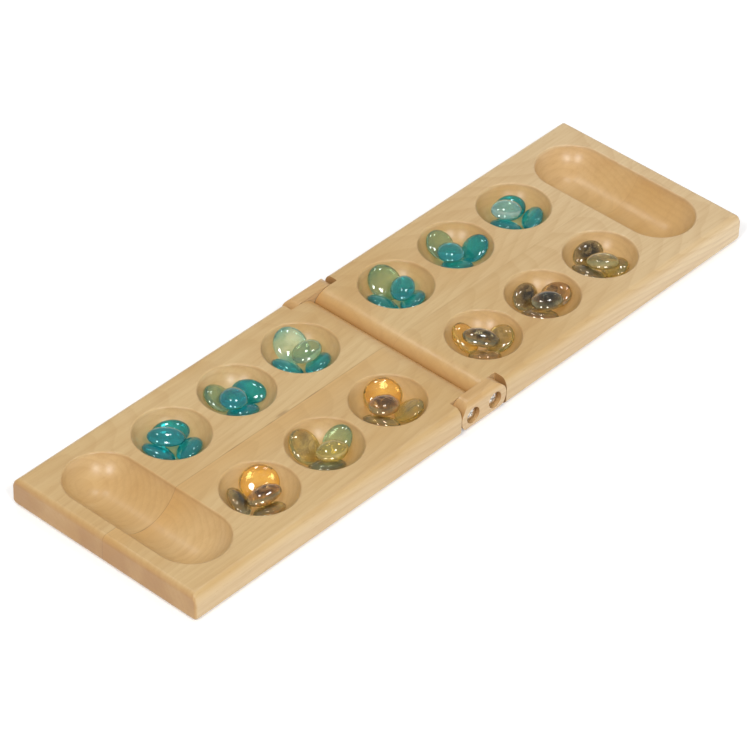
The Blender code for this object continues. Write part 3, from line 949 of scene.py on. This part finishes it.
@dataclass
class Bowl:
    """A turned hollow: part of a sphere under a softly rounded rim."""

    mouth_radius: float = 0.0217
    depth: float = 0.0145
    top: float = 0.0180
    rim_round: float = 0.0014
    rim_end: float = math.radians(8)
    rim_steps: int = 6
    overrun: float = 0.0040
    segments: int = 96
    rings: int = 72

    @property
    def radius(self) -> float:
        """The sphere's radius."""
        return (self.mouth_radius ** 2 + self.depth ** 2) / (2 * self.depth)

    @property
    def rise(self) -> float:
        """How far the sphere's centre is over the board's top."""
        return self.radius - self.depth

    def rim(self) -> list[Span]:
        """The rim's outline from the bowl up to clear of the board.

        Returns:
            Pairs of radius and height.
        """
        reach = self.radius + self.rim_round
        drop = self.rise + self.rim_round
        centre = math.sqrt(reach ** 2 - drop ** 2)
        steepest = math.atan2(centre, drop)
        points = []
        for step in range(self.rim_steps + 1):
            angle = steepest + (self.rim_end - steepest) * step / self.rim_steps
            points.append((centre - self.rim_round * math.sin(angle),
                           self.top - self.rim_round * (1 - math.cos(angle))))
        outer = 2 * self.rim_round
        radius, height = points[-1]
        return points + [(radius + outer, height + outer * math.tan(self.rim_end)),
                         (radius + outer, self.top + self.overrun)]

    def cutter(self, name: str, along: float = 0.0) -> Piece:
        """A closed tool of the hollow's shape, on the middle line.

        Args:
            name: The tool's name.
            along: The X of the hollow's middle.

        Returns:
            The tool.
        """
        centre = Vector((along, 0.0, self.top + self.rise))
        outline = self.rim()
        hold()
        bpy.ops.mesh.primitive_uv_sphere_add(
            segments=self.segments, ring_count=self.rings, radius=self.radius,
            location=centre, rotation=(0, 0, math.pi / self.segments))
        tool = named(name)
        with editing(tool):
            pick_all()
            bpy.ops.mesh.bisect(plane_co=(0, 0, outline[0][1]), plane_no=(0, 0, 1),
                                clear_outer=True, threshold=PLANE_GAP)
            pick(tool, Element.EDGE, lambda edge: edge.is_boundary)
            for (radius, height), (wider, higher) in zip(outline, outline[1:]):
                push_ring(higher - height, wider / radius, centre)
            bpy.ops.mesh.edge_face_add()
            tidy()
        return tool

    def trough(self, name: str, along: float, run: float) -> Piece:
        """The same tool drawn out along Y, to either side of the middle line.

        Args:
            name: The tool's name.
            along: The X of the trough's middle.
            run: How far each round end's centre is from the middle line.

        Returns:
            The tool.
        """
        tool = self.cutter(name, along)
        with editing(tool):
            pick_all()
            bpy.ops.mesh.bisect(plane_co=(0, 0, 0), plane_no=(0, 1, 0),
                                clear_inner=True, threshold=PLANE_GAP)
            pick_all()
            bpy.ops.transform.translate(value=(0, run, 0))
            pick(tool, Element.EDGE, lambda edge: edge.is_boundary)
            bpy.ops.mesh.extrude_region_move(
                TRANSFORM_OT_translate={"value": (0, -run, 0)})
        modify(tool, "MIRROR", use_axis=(False, True, False),
               merge_threshold=MIRROR_GAP)
        bake(tool)
        with editing(tool):
            tidy()
        return tool


@dataclass
class BoardHalf:
    """One half of the board, modelled as the far one; the near one is turned round."""

    end: float = 0.22225
    half_width: float = 0.06695
    thickness: float = 0.0180
    seam_face: float = 0.0002
    seam_round: float = 0.0115
    long_round: float = 0.0045
    end_round: float = 0.0036
    corner_round: float = 0.0018
    foot_round: float = 0.0010
    round_steps: int = 10
    pit_places: tuple[float, ...] = (0.0389, 0.0887, 0.1385)
    row_place: float = 0.03205
    store_place: float = 0.1899
    notch_length: float = 0.0184
    notch_wall: float = 0.05785
    notch_steps: int = 4
    ease: float = 0.0003
    ease_steps: int = 2
    ease_angle: float = math.radians(40)
    ease_from: float = 0.0020
    pivot: Span = (0.0089, 0.0094)
    pilot_radius: float = 0.0023
    pilot_bottom: float = 0.04445
    pilot_steps: int = 32
    overrun: float = 0.0040
    bowl: Bowl = field(default_factory=Bowl)

    def edge_share(self, run: Vector, middle: Vector) -> float:
        """Say how strongly an edge of the plain panel is rounded.

        Args:
            run: From one end of the edge to the other.
            middle: The edge's middle.

        Returns:
            The rounding as a share of the widest one.
        """
        at_end = middle.x > self.end / 2
        if abs(run.x) > self.foot_round:
            width = self.long_round
        elif abs(run.y) > self.foot_round:
            on_top = middle.z > self.thickness / 2
            at_seam = self.seam_round if on_top else self.foot_round
            width = self.end_round if at_end else at_seam
        else:
            width = self.corner_round if at_end else 0.0
        return width / self.seam_round

    def panel(self) -> Piece:
        """The board with its rounded edges, before it is hollowed.

        Returns:
            The panel.
        """
        panel = block("half_master", (self.seam_face, -self.half_width, 0.0),
                      (self.end, self.half_width, self.thickness))
        mesh = panel.data
        weights = mesh.attributes.new("bevel_weight_edge", "FLOAT", "EDGE")
        for edge in mesh.edges:
            start, stop = (mesh.vertices[index].co for index in edge.vertices)
            share = self.edge_share(stop - start, (start + stop) / 2)
            weights.data[edge.index].value = share
        modify(panel, "BEVEL", limit_method="WEIGHT", width=self.seam_round,
               segments=self.round_steps, use_clamp_overlap=False)
        bake(panel)
        return panel

    def notch_tool(self, row: Row) -> Piece:
        """The tool for a link's notch.

        Args:
            row: The side that the notch is on.

        Returns:
            The tool, its inner upright corner slightly rounded.
        """
        inner = row.value * self.notch_wall
        sides = sorted((inner, row.value * (self.half_width + self.overrun)))
        tool = block("notch_tool", (-self.overrun, sides[0], -self.overrun),
                     (self.notch_length, sides[1], self.thickness + self.overrun))

        def upright(edge: Edge) -> bool:
            """Tell whether an edge is the notch's inner upright one.

            Args:
                edge: The edge.

            Returns:
                True if it is.
            """
            return all(abs(vert.co.x - self.notch_length) < self.ease
                       and abs(vert.co.y - inner) < self.ease for vert in edge.verts)

        round_off(tool, upright, 2 * self.ease, self.notch_steps)
        return tool

    def tools(self) -> list[Piece]:
        """Every tool that the half is cut with.

        Returns:
            The tools for its pits, store, notches and pilot holes.
        """
        made = [self.bowl.trough("store_tool", self.store_place, self.row_place)]
        pit = self.bowl.cutter("pit_tool")
        for row in Row:
            for index, along in enumerate(self.pit_places):
                place = Matrix.Translation((along, row.value * self.row_place, 0))
                made.append(copied(pit, f"pit_tool_{row.name}_{index}", place))
            made.append(self.notch_tool(row))
            ends = [(self.pivot[0], row.value * reach, self.pivot[1])
                    for reach in (self.pilot_bottom, self.notch_wall + self.overrun)]
            made.append(rod("pilot_tool", self.pilot_radius, *ends, self.pilot_steps))
        put_away(pit)
        return made

    def soften(self, half: Piece) -> None:
        """Ease the notches' cut edges, as sandpaper leaves them.

        Args:
            half: The half, cut to its shape.
        """
        near = self.ease / 2

        def cut_edge(edge: Edge) -> bool:
            """Tell whether an edge runs along a notch's wall and the board's skin.

            Args:
                edge: The edge.

            Returns:
                True if it does.
            """
            ends = [vert.co for vert in edge.verts]
            in_wall = all(abs(abs(end.y) - self.notch_wall) < near for end in ends)
            on_end = all(abs(end.x - self.notch_length) < near
                         and abs(end.y) > self.notch_wall for end in ends)
            upper = all(end.z > self.ease_from for end in ends)
            round_hole = all(math.dist((end.x, end.z), self.pivot)
                             < self.pilot_radius + near for end in ends)
            return ((in_wall or on_end) and upper and not round_hole
                    and turns(edge, self.ease_angle))

        round_off(half, cut_edge, self.ease, self.ease_steps, clamp=True)

    def build(self, wood: Material) -> None:
        """Make both halves and put them on their bodies.

        Args:
            wood: What they are made of.
        """
        master = self.panel()
        cut(master, self.tools())
        self.soften(master)
        place_pair(master, wood,
                   {f"{side.name.lower()}_half": side.value for side in Side})


@dataclass
class LinkBlock:
    """A wooden link: round ends about its two pivots, its outer long edges rounded."""

    pivot: Span = (0.0089, 0.0094)
    radius: float = 0.0092
    end_steps: int = 96
    outer: float = 0.06695
    thickness: float = 0.0088
    edge_round: float = 0.0040
    edge_steps: int = 12
    ease: float = 0.00035
    ease_steps: int = 3
    ease_angle: float = math.radians(38)
    slack: float = 0.00007
    bore_radius: float = 0.0023
    bore_steps: int = 48
    counterbore_radius: float = 0.0050
    counterbore_depth: float = 0.0040
    counterbore_steps: int = 64
    overrun: float = 0.0030

    def blank(self) -> Piece:
        """The link's side view, drawn out to its thickness.

        Returns:
            The back link's blank.
        """
        along, up = self.pivot
        link = rod("link_master", self.radius, (0, self.outer - self.thickness, up),
                   (0, self.outer, up), self.end_steps)
        with editing(link):
            for side in (1, -1):
                pick(link, Element.VERT, lambda vert: vert.co.x * side > -self.slack)
                bpy.ops.transform.translate(value=(side * along, 0, 0))
        return link

    def rounded_bar(self) -> Piece:
        """A bar with the board's outer roundings, which the link is trimmed to.

        Returns:
            The bar.
        """
        along, up = self.pivot
        reach = along + self.radius + self.overrun
        low = (-reach, self.outer - self.thickness - self.overrun,
               up - self.radius - self.ease)
        bar = block("bar_tool", low, (reach, self.outer, up + self.radius))

        def outer_long(edge: Edge) -> bool:
            """Tell whether an edge runs along the bar on its outer side.

            Args:
                edge: The edge.

            Returns:
                True if it does.
            """
            start, stop = (vert.co for vert in edge.verts)
            return (min(start.y, stop.y) > self.outer - self.ease
                    and abs(start.x - stop.x) > reach)

        round_off(bar, outer_long, self.edge_round, self.edge_steps)
        return bar

    def bore_tools(self) -> list[Piece]:
        """The tools for the screws' bores and the hollows of their heads.

        Returns:
            The tools.
        """
        along, up = self.pivot
        bores = ((self.bore_radius, self.thickness + self.overrun, self.bore_steps),
                 (self.counterbore_radius, self.counterbore_depth,
                  self.counterbore_steps))
        return [rod("bore_tool", radius, (across, self.outer - depth, up),
                    (across, self.outer + self.overrun, up), steps)
                for across in (along, -along) for radius, depth, steps in bores]

    def soften(self, link: Piece) -> None:
        """Ease the link's sharp outer edges, but not those down in its bores.

        Args:
            link: The link, cut to its shape.
        """
        inner = self.outer - self.thickness

        def on_skin(edge: Edge) -> bool:
            """Tell whether an edge is sharp and on the link's skin.

            Args:
                edge: The edge.

            Returns:
                True if it is.
            """
            ends = [vert.co for vert in edge.verts]
            return (all(end.y > self.outer - self.slack for end in ends)
                    or all(end.y < inner + self.slack for end in ends)
                    or all(abs(end.x) > self.pivot[0] + self.counterbore_radius
                           for end in ends)) and turns(edge, self.ease_angle)

        round_off(link, on_skin, self.ease, self.ease_steps, clamp=True)

    def build(self, wood: Material) -> None:
        """Make both links and put them on their bodies.

        Args:
            wood: What they are made of.
        """
        master = self.blank()
        cut(master, [self.rounded_bar()], "INTERSECT")
        cut(master, self.bore_tools())
        self.soften(master)
        place_pair(master, wood,
                   {f"link_{row.name.lower()}": row.value for row in Row})


@dataclass
class HingeScrew:
    """A pan-head wood screw with a cross recess, which a link turns on."""

    pivot: Span = (0.0089, 0.0094)
    seat: float = 0.06325
    head_radius: float = 0.0045
    head_height: float = 0.0018
    head_edge: float = 0.0008
    head_steps: int = 64
    dome_steps: int = 8
    shank_radius: float = 0.0020
    length: float = 0.0185
    tip_length: float = 0.0035
    tip_share: float = 0.12
    arm_length: float = 0.0024
    arm_width: float = 0.0009
    drive_depth: float = 0.0010
    facing: float = 0.9
    smooth_angle: float = 35
    turns: tuple[float, ...] = (24, 71, 48, 12)

    def head(self) -> Piece:
        """The head and shank, standing on the seat at Z = 0.

        Returns:
            The screw without its recess.
        """
        screw = rod("screw_master", self.head_radius, (0, 0, 0),
                    (0, 0, self.head_edge), self.head_steps)
        centre = Vector((0, 0, 0))
        crown = self.head_height - self.head_edge
        angles = [math.pi / 2 * step / self.dome_steps
                  for step in range(self.dome_steps, 0, -1)]
        outline = [(math.sin(angle), math.cos(angle)) for angle in angles]
        with editing(screw):
            pick(screw, Element.FACE, lambda face: face.normal.z > self.facing)
            for (radius, rise), (closer, higher) in zip(outline, outline[1:]):
                push_ring((higher - rise) * crown, closer / radius, centre)
            bpy.ops.mesh.poke()
            pick(screw, Element.FACE, lambda face: face.normal.z < -self.facing)
            bpy.ops.mesh.inset(thickness=self.head_radius - self.shank_radius)
            push_ring(self.tip_length - self.length, 1.0, centre)
            push_ring(-self.tip_length, self.tip_share, centre)
        return screw

    def build(self, plate: Material) -> None:
        """Make the four screws and put them on their halves.

        Args:
            plate: The plate that they carry.
        """
        master = self.head()
        low, high = self.head_height - self.drive_depth, self.head_height + self.arm_length
        arm = (self.arm_length, self.arm_width / 2)
        for across, along in (arm, arm[::-1]):
            cut(master, [block("drive_tool", (-across, -along, low),
                               (across, along, high))])
        smooth(master, self.smooth_angle)
        coat(master, plate)
        stations = [(row, side) for row in Row for side in Side]
        for (row, side), degrees in zip(stations, self.turns):
            place = (Matrix.Translation((side.value * self.pivot[0], 0, self.pivot[1]))
                     @ Matrix.Rotation(-row.value * math.pi / 2, 4, "X")
                     @ Matrix.Translation((0, 0, self.seat))
                     @ Matrix.Rotation(math.radians(degrees), 4, "Z"))
            node = f"hinge_screw_{row.name.lower()}_{side.name.lower()}"
            piece = copied(master, f"{node}_zinc", place)
            stand_in(piece, node, f"{side.name.lower()}_half")
        put_away(master)


@dataclass(frozen=True)
class Seat:
    """Where a stone lies: its base's middle, its directions and its sizes."""

    # The steps in a normal's parts, by which the faces of one flat are gathered.
    NORMAL_STEPS = 50

    place: Matrix
    length: float
    width: float
    height: float

    @classmethod
    def of(cls, node: Piece) -> Seat:
        """Read a plain stone's seat from its flat base and its outline.

        Args:
            node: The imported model's stone.

        Returns:
            Its seat.
        """
        sums: dict[tuple[int, ...], Vector] = {}
        for face in node.data.polygons:
            key = tuple(round(part * cls.NORMAL_STEPS) for part in face.normal)
            sums[key] = sums.get(key, Vector()) + face.normal * face.area
        up = -max(sums.values(), key=lambda total: total.length).normalized()
        points = [vert.co for vert in node.data.vertices]
        middle = sum(points, Vector()) / len(points)
        flat = [point - middle - up * (point - middle).dot(up) for point in points]
        along = max(flat, key=lambda point: point.length).normalized()
        axes = (along, up.cross(along), up)
        spans = []
        for axis in axes:
            reach = [point.dot(axis) for point in points]
            spans.append((min(reach), max(reach)))
        base = (along * sum(spans[0]) / 2 + axes[1] * sum(spans[1]) / 2
                + up * spans[2][0])
        return cls(standing(base, axes), *(high - low for low, high in spans))


@dataclass
class GlassStones:
    """Forty-eight glass stones, of a few poured shapes, each in its own seat."""

    height: float = 0.0050
    undercut: float = 0.0013
    base_share: float = 0.80
    base_bevel: float = 0.05
    base_slack: float = 0.0001
    base_steps: int = 4
    lump_size: float = 0.0125
    fit: float = 0.985
    long_to: float = 0.75
    round_from: float = 0.90
    near_pits: int = 3
    segments: int = 48
    rings: int = 28

    def shape(self, form: StoneForm) -> Piece:
        """Model one poured shape, standing on its flat base at Z = 0.

        Args:
            form: Which shape.

        Returns:
            The stone that its copies are made from.
        """
        length, width, lumps = form.value
        hold()
        bpy.ops.mesh.primitive_uv_sphere_add(
            segments=self.segments, ring_count=self.rings, radius=0.5)
        stone = named(f"stone_shape_{form.name.lower()}")
        dome = self.height - self.undercut
        sunk = math.sqrt(1 - self.base_share ** 2)
        with editing(stone):
            pick_all()
            bpy.ops.mesh.bisect(plane_co=(0, 0, -sunk / 2), plane_no=(0, 0, -1),
                                clear_outer=True, use_fill=True)
        level = self.base_slack - sunk / 2
        round_off(stone, lambda edge: all(vert.co.z < level for vert in edge.verts),
                  self.base_bevel, self.base_steps)
        with editing(stone):
            pick(stone, Element.VERT, lambda vert: vert.co.z < 0)
            bpy.ops.transform.resize(value=(1, 1, self.undercut / (sunk * dome)),
                                     center_override=(0, 0, 0))
            pick_all()
            bpy.ops.transform.resize(value=(length, width, 2 * dome),
                                     center_override=(0, 0, 0))
            bpy.ops.transform.translate(value=(0, 0, self.undercut))
        lumpy = bpy.data.textures.new(f"{form.name.lower()}_lumps", "CLOUDS")
        lumpy.noise_scale = self.lump_size
        lumpy.noise_depth = 0
        modify(stone, "DISPLACE", texture=lumpy, strength=lumps, mid_level=0.5,
               texture_coords="LOCAL")
        bake(stone)
        shares = stone.data.attributes.new("rim_share", "FLOAT", "POINT")
        for vert in stone.data.vertices:
            reach = math.hypot(vert.co.x / (length / 2), vert.co.y / (width / 2))
            shares.data[vert.index].value = min(1.0, reach)
        hold(stone)
        bpy.ops.object.shade_smooth()
        return stone

    def form(self, seat: Seat, count: int) -> StoneForm:
        """Choose the poured shape that suits a seat.

        Args:
            seat: The stone's seat.
            count: The stone's number, which settles the rest.

        Returns:
            The shape.
        """
        roundness = seat.width / seat.length
        if roundness > self.round_from:
            return StoneForm.ROUND
        if roundness < self.long_to:
            return StoneForm.LONG
        return StoneForm.OVAL if count % 2 else StoneForm.PEBBLE

    def build(self, glasses: dict[str, Material], nodes: dict[str, Piece],
              record: dict) -> None:
        """Copy the shapes into every seat and put them on their halves.

        Args:
            glasses: The tinted glasses by the record's slot.
            nodes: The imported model's nodes.
            record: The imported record, which gives each stone's slot.
        """
        shapes = {form: self.shape(form) for form in StoneForm}
        slots = {part["node"]: part["material_slot"] for part in record["subparts"]}
        stones = sorted(name for name in nodes if name.startswith("stone_"))
        for count, name in enumerate(stones):
            seat = Seat.of(nodes[name])
            form = self.form(seat, count)
            length, width, _ = form.value
            sizing = Matrix.Diagonal((seat.length / length * self.fit,
                                      seat.width / width * self.fit,
                                      seat.height / self.height * self.fit, 1))
            turn = Matrix.Rotation(math.pi * (count % 2), 4, "Z")
            piece = copied(shapes[form], name + "_glass", seat.place @ turn @ sizing)
            coat(piece, glasses[slots[name]])
            side = "near" if int(name.split("_")[2]) <= self.near_pits else "far"
            stand_in(piece, name, f"{side}_half")
        put_away(*shapes.values())


@dataclass
class Studio:
    """A white table and walls, a plain ceiling and two pairs of soft lamps."""

    camera_place: tuple[float, float, float] = (-1.31287, -1.13529, 1.41721)
    camera_right: tuple[float, float, float] = (0.67226, -0.73993, 0.0237)
    camera_up: tuple[float, float, float] = (0.45721, 0.44015, 0.7728)
    lens: float = 196.57
    sensor: float = 36.0
    sight: float = 20.0
    floor_size: float = 12.0
    floor_drop: float = 0.0001
    floor_white: float = 0.86
    floor_roughness: float = 0.9
    floor_specular: float = 0.1
    floor_glow: float = 0.30
    lamp_distance: float = 3.4
    lamp_height: float = 46.0
    lamp_swing: float = 24.0
    lamp_size: Span = (0.55, 0.85)
    lamp_power: float = 38.0
    overhead_height: float = 62.0
    overhead_size: Span = (0.28, 0.46)
    overhead_power: float = 9.0
    sky: float = 0.34
    wall_rise: Span = (0.06, 0.30)

    @staticmethod
    def hang(name: str, data: bpy.types.ID, place: Matrix) -> Piece:
        """Put a camera or a lamp in its place.

        Args:
            name: The object's name.
            data: The camera or the lamp.
            place: Where it goes.

        Returns:
            The new object.
        """
        hung = bpy.data.objects.new(name, data)
        bpy.context.scene.collection.objects.link(hung)
        hung.matrix_world = place
        return hung

    def camera(self) -> None:
        """Put the camera where the photographer stood."""
        right = Vector(self.camera_right).normalized()
        up = Vector(self.camera_up)
        up = (up - right * up.dot(right)).normalized()
        lens = bpy.data.cameras.new("camera")
        lens.lens = self.lens
        lens.sensor_width = self.sensor
        lens.clip_end = self.sight
        bpy.context.scene.camera = self.hang(
            "camera", lens, standing(self.camera_place, (right, up, right.cross(up))))

    def floor(self) -> None:
        """Lay the white table top."""
        hold()
        bpy.ops.mesh.primitive_plane_add(size=self.floor_size,
                                         location=(0, 0, -self.floor_drop))
        table = named("table_top")
        graph = Graph(bpy.data.materials.new("white_table"))
        graph.constants(Base_Color=(*[self.floor_white] * 3, 1.0),
                        Roughness=self.floor_roughness,
                        Specular_IOR_Level=self.floor_specular)
        rays = graph.nodes.new("ShaderNodeLightPath").outputs
        seen = graph.maths("MAXIMUM", rays["Is Camera Ray"], graph.maths(
            "MAXIMUM", rays["Is Glossy Ray"], rays["Is Transmission Ray"]))
        glow = graph.nodes.new("ShaderNodeEmission")
        graph.put(glow.inputs["Strength"], graph.times(seen, self.floor_glow))
        graph.close("ShaderNodeAddShader", graph.shader.outputs[0], glow.outputs[0])
        coat(table, graph.owner)

    def lamp(self, name: str, bearing: float, rise: float, size: Span,
             power: float) -> None:
        """Hang one soft lamp, turned to the board.

        Args:
            name: Its name.
            bearing: Its direction over the table, in degrees.
            rise: Its height over the table, in degrees.
            size: Its width and height.
            power: Its power in watts.
        """
        turn, lift = math.radians(bearing), math.radians(rise)
        place = self.lamp_distance * Vector((
            math.cos(turn) * math.cos(lift), math.sin(turn) * math.cos(lift),
            math.sin(lift)))
        light = bpy.data.lights.new(name, "AREA")
        light.shape = "RECTANGLE"
        light.size, light.size_y = size
        light.energy = power
        self.hang(name, light, Matrix.Translation(place)
                  @ place.to_track_quat("Z", "Y").to_matrix().to_4x4())

    def lamps(self) -> None:
        """Hang a pair of lamps at the camera and a pair overhead."""
        bearing = math.degrees(math.atan2(self.camera_place[1], self.camera_place[0]))
        for index, swing in enumerate((-self.lamp_swing, self.lamp_swing)):
            self.lamp(f"front_lamp_{index}", bearing + swing, self.lamp_height,
                      self.lamp_size, self.lamp_power)
            self.lamp(f"overhead_lamp_{index}", bearing + 180 + swing,
                      self.overhead_height, self.overhead_size, self.overhead_power)

    def room(self) -> None:
        """Light the room: white walls under a darker ceiling."""
        graph = Graph(bpy.data.worlds.new("even_sky"), "Background")
        bpy.context.scene.world = graph.owner
        graph.constants(Color=(*WHITE, 1.0))
        graph.put(graph.shader.inputs["Strength"],
                  graph.spread(graph.parts(graph.bearing)[2], *self.wall_rise, 1.0,
                               self.sky))

    def build(self) -> None:
        """Set up the camera, the table and the light."""
        self.camera()
        self.floor()
        self.lamps()
        self.room()
        bpy.context.scene.view_settings.view_transform = "Standard"
        LOG.info("studio: table, four lamps, room and camera")


def wood_finishes() -> tuple[WoodFinish, WoodFinish]:
    """The wood of the halves and the browner wood of the links."""
    return (WoodFinish("lacquered_hardwood", srgb(217, 187, 136), srgb(202, 162, 103),
                       srgb(186, 143, 88), srgb(176, 128, 74)),
            WoodFinish("link_hardwood", srgb(219, 183, 129), srgb(205, 162, 105),
                       srgb(183, 138, 84), srgb(174, 127, 73), ring_spacing=0.0027,
                       strips=False))


def glass_finishes() -> dict[str, GlassFinish]:
    """The tinted glasses, by the record's slot."""
    return {
        "stone_teal": GlassFinish("teal_glass", srgb(58, 208, 212), srgb(44, 136, 186),
                                  srgb(44, 164, 162), clear=0.85, crown_share=-0.04),
        "stone_sea_green": GlassFinish("sea_green_glass", srgb(214, 221, 182),
                                       srgb(176, 200, 158), srgb(138, 186, 160),
                                       clear=0.88),
        "stone_ice": GlassFinish("ice_glass", srgb(246, 252, 236), srgb(200, 222, 180),
                                 srgb(130, 206, 214), clear=0.88),
        "stone_amber": GlassFinish("amber_glass", srgb(252, 232, 150),
                                   srgb(252, 242, 200), srgb(236, 202, 96), clear=0.92,
                                   light_through=0.65),
        "stone_olive": GlassFinish("olive_glass", srgb(220, 216, 166),
                                   srgb(120, 122, 94), srgb(216, 188, 96), clear=0.88,
                                   crown_share=0.04),
        "stone_smoke": GlassFinish("smoke_glass", srgb(182, 188, 162), srgb(42, 50, 48),
                                   srgb(230, 206, 142), clear=0.92, swirl_share=1.0,
                                   crown_share=0.14),
        "stone_brown": GlassFinish("brown_glass", srgb(212, 196, 146), srgb(62, 62, 56),
                                   srgb(238, 202, 128), clear=0.92, swirl_share=0.96,
                                   crown_share=0.09),
    }


def main() -> None:
    """Build and dress every piece, in order."""
    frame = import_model()
    Studio().build()
    board_wood, link_wood = wood_finishes()
    BoardHalf().build(board_wood.build())
    LinkBlock().build(link_wood.build())
    HingeScrew().build(SteelFinish().build())
    glasses = {slot: finish.build() for slot, finish in glass_finishes().items()}
    GlassStones().build(glasses, frame["nodes"], frame["record"])
    LOG.info("boxes written")


if __name__ == "__main__":
    main()
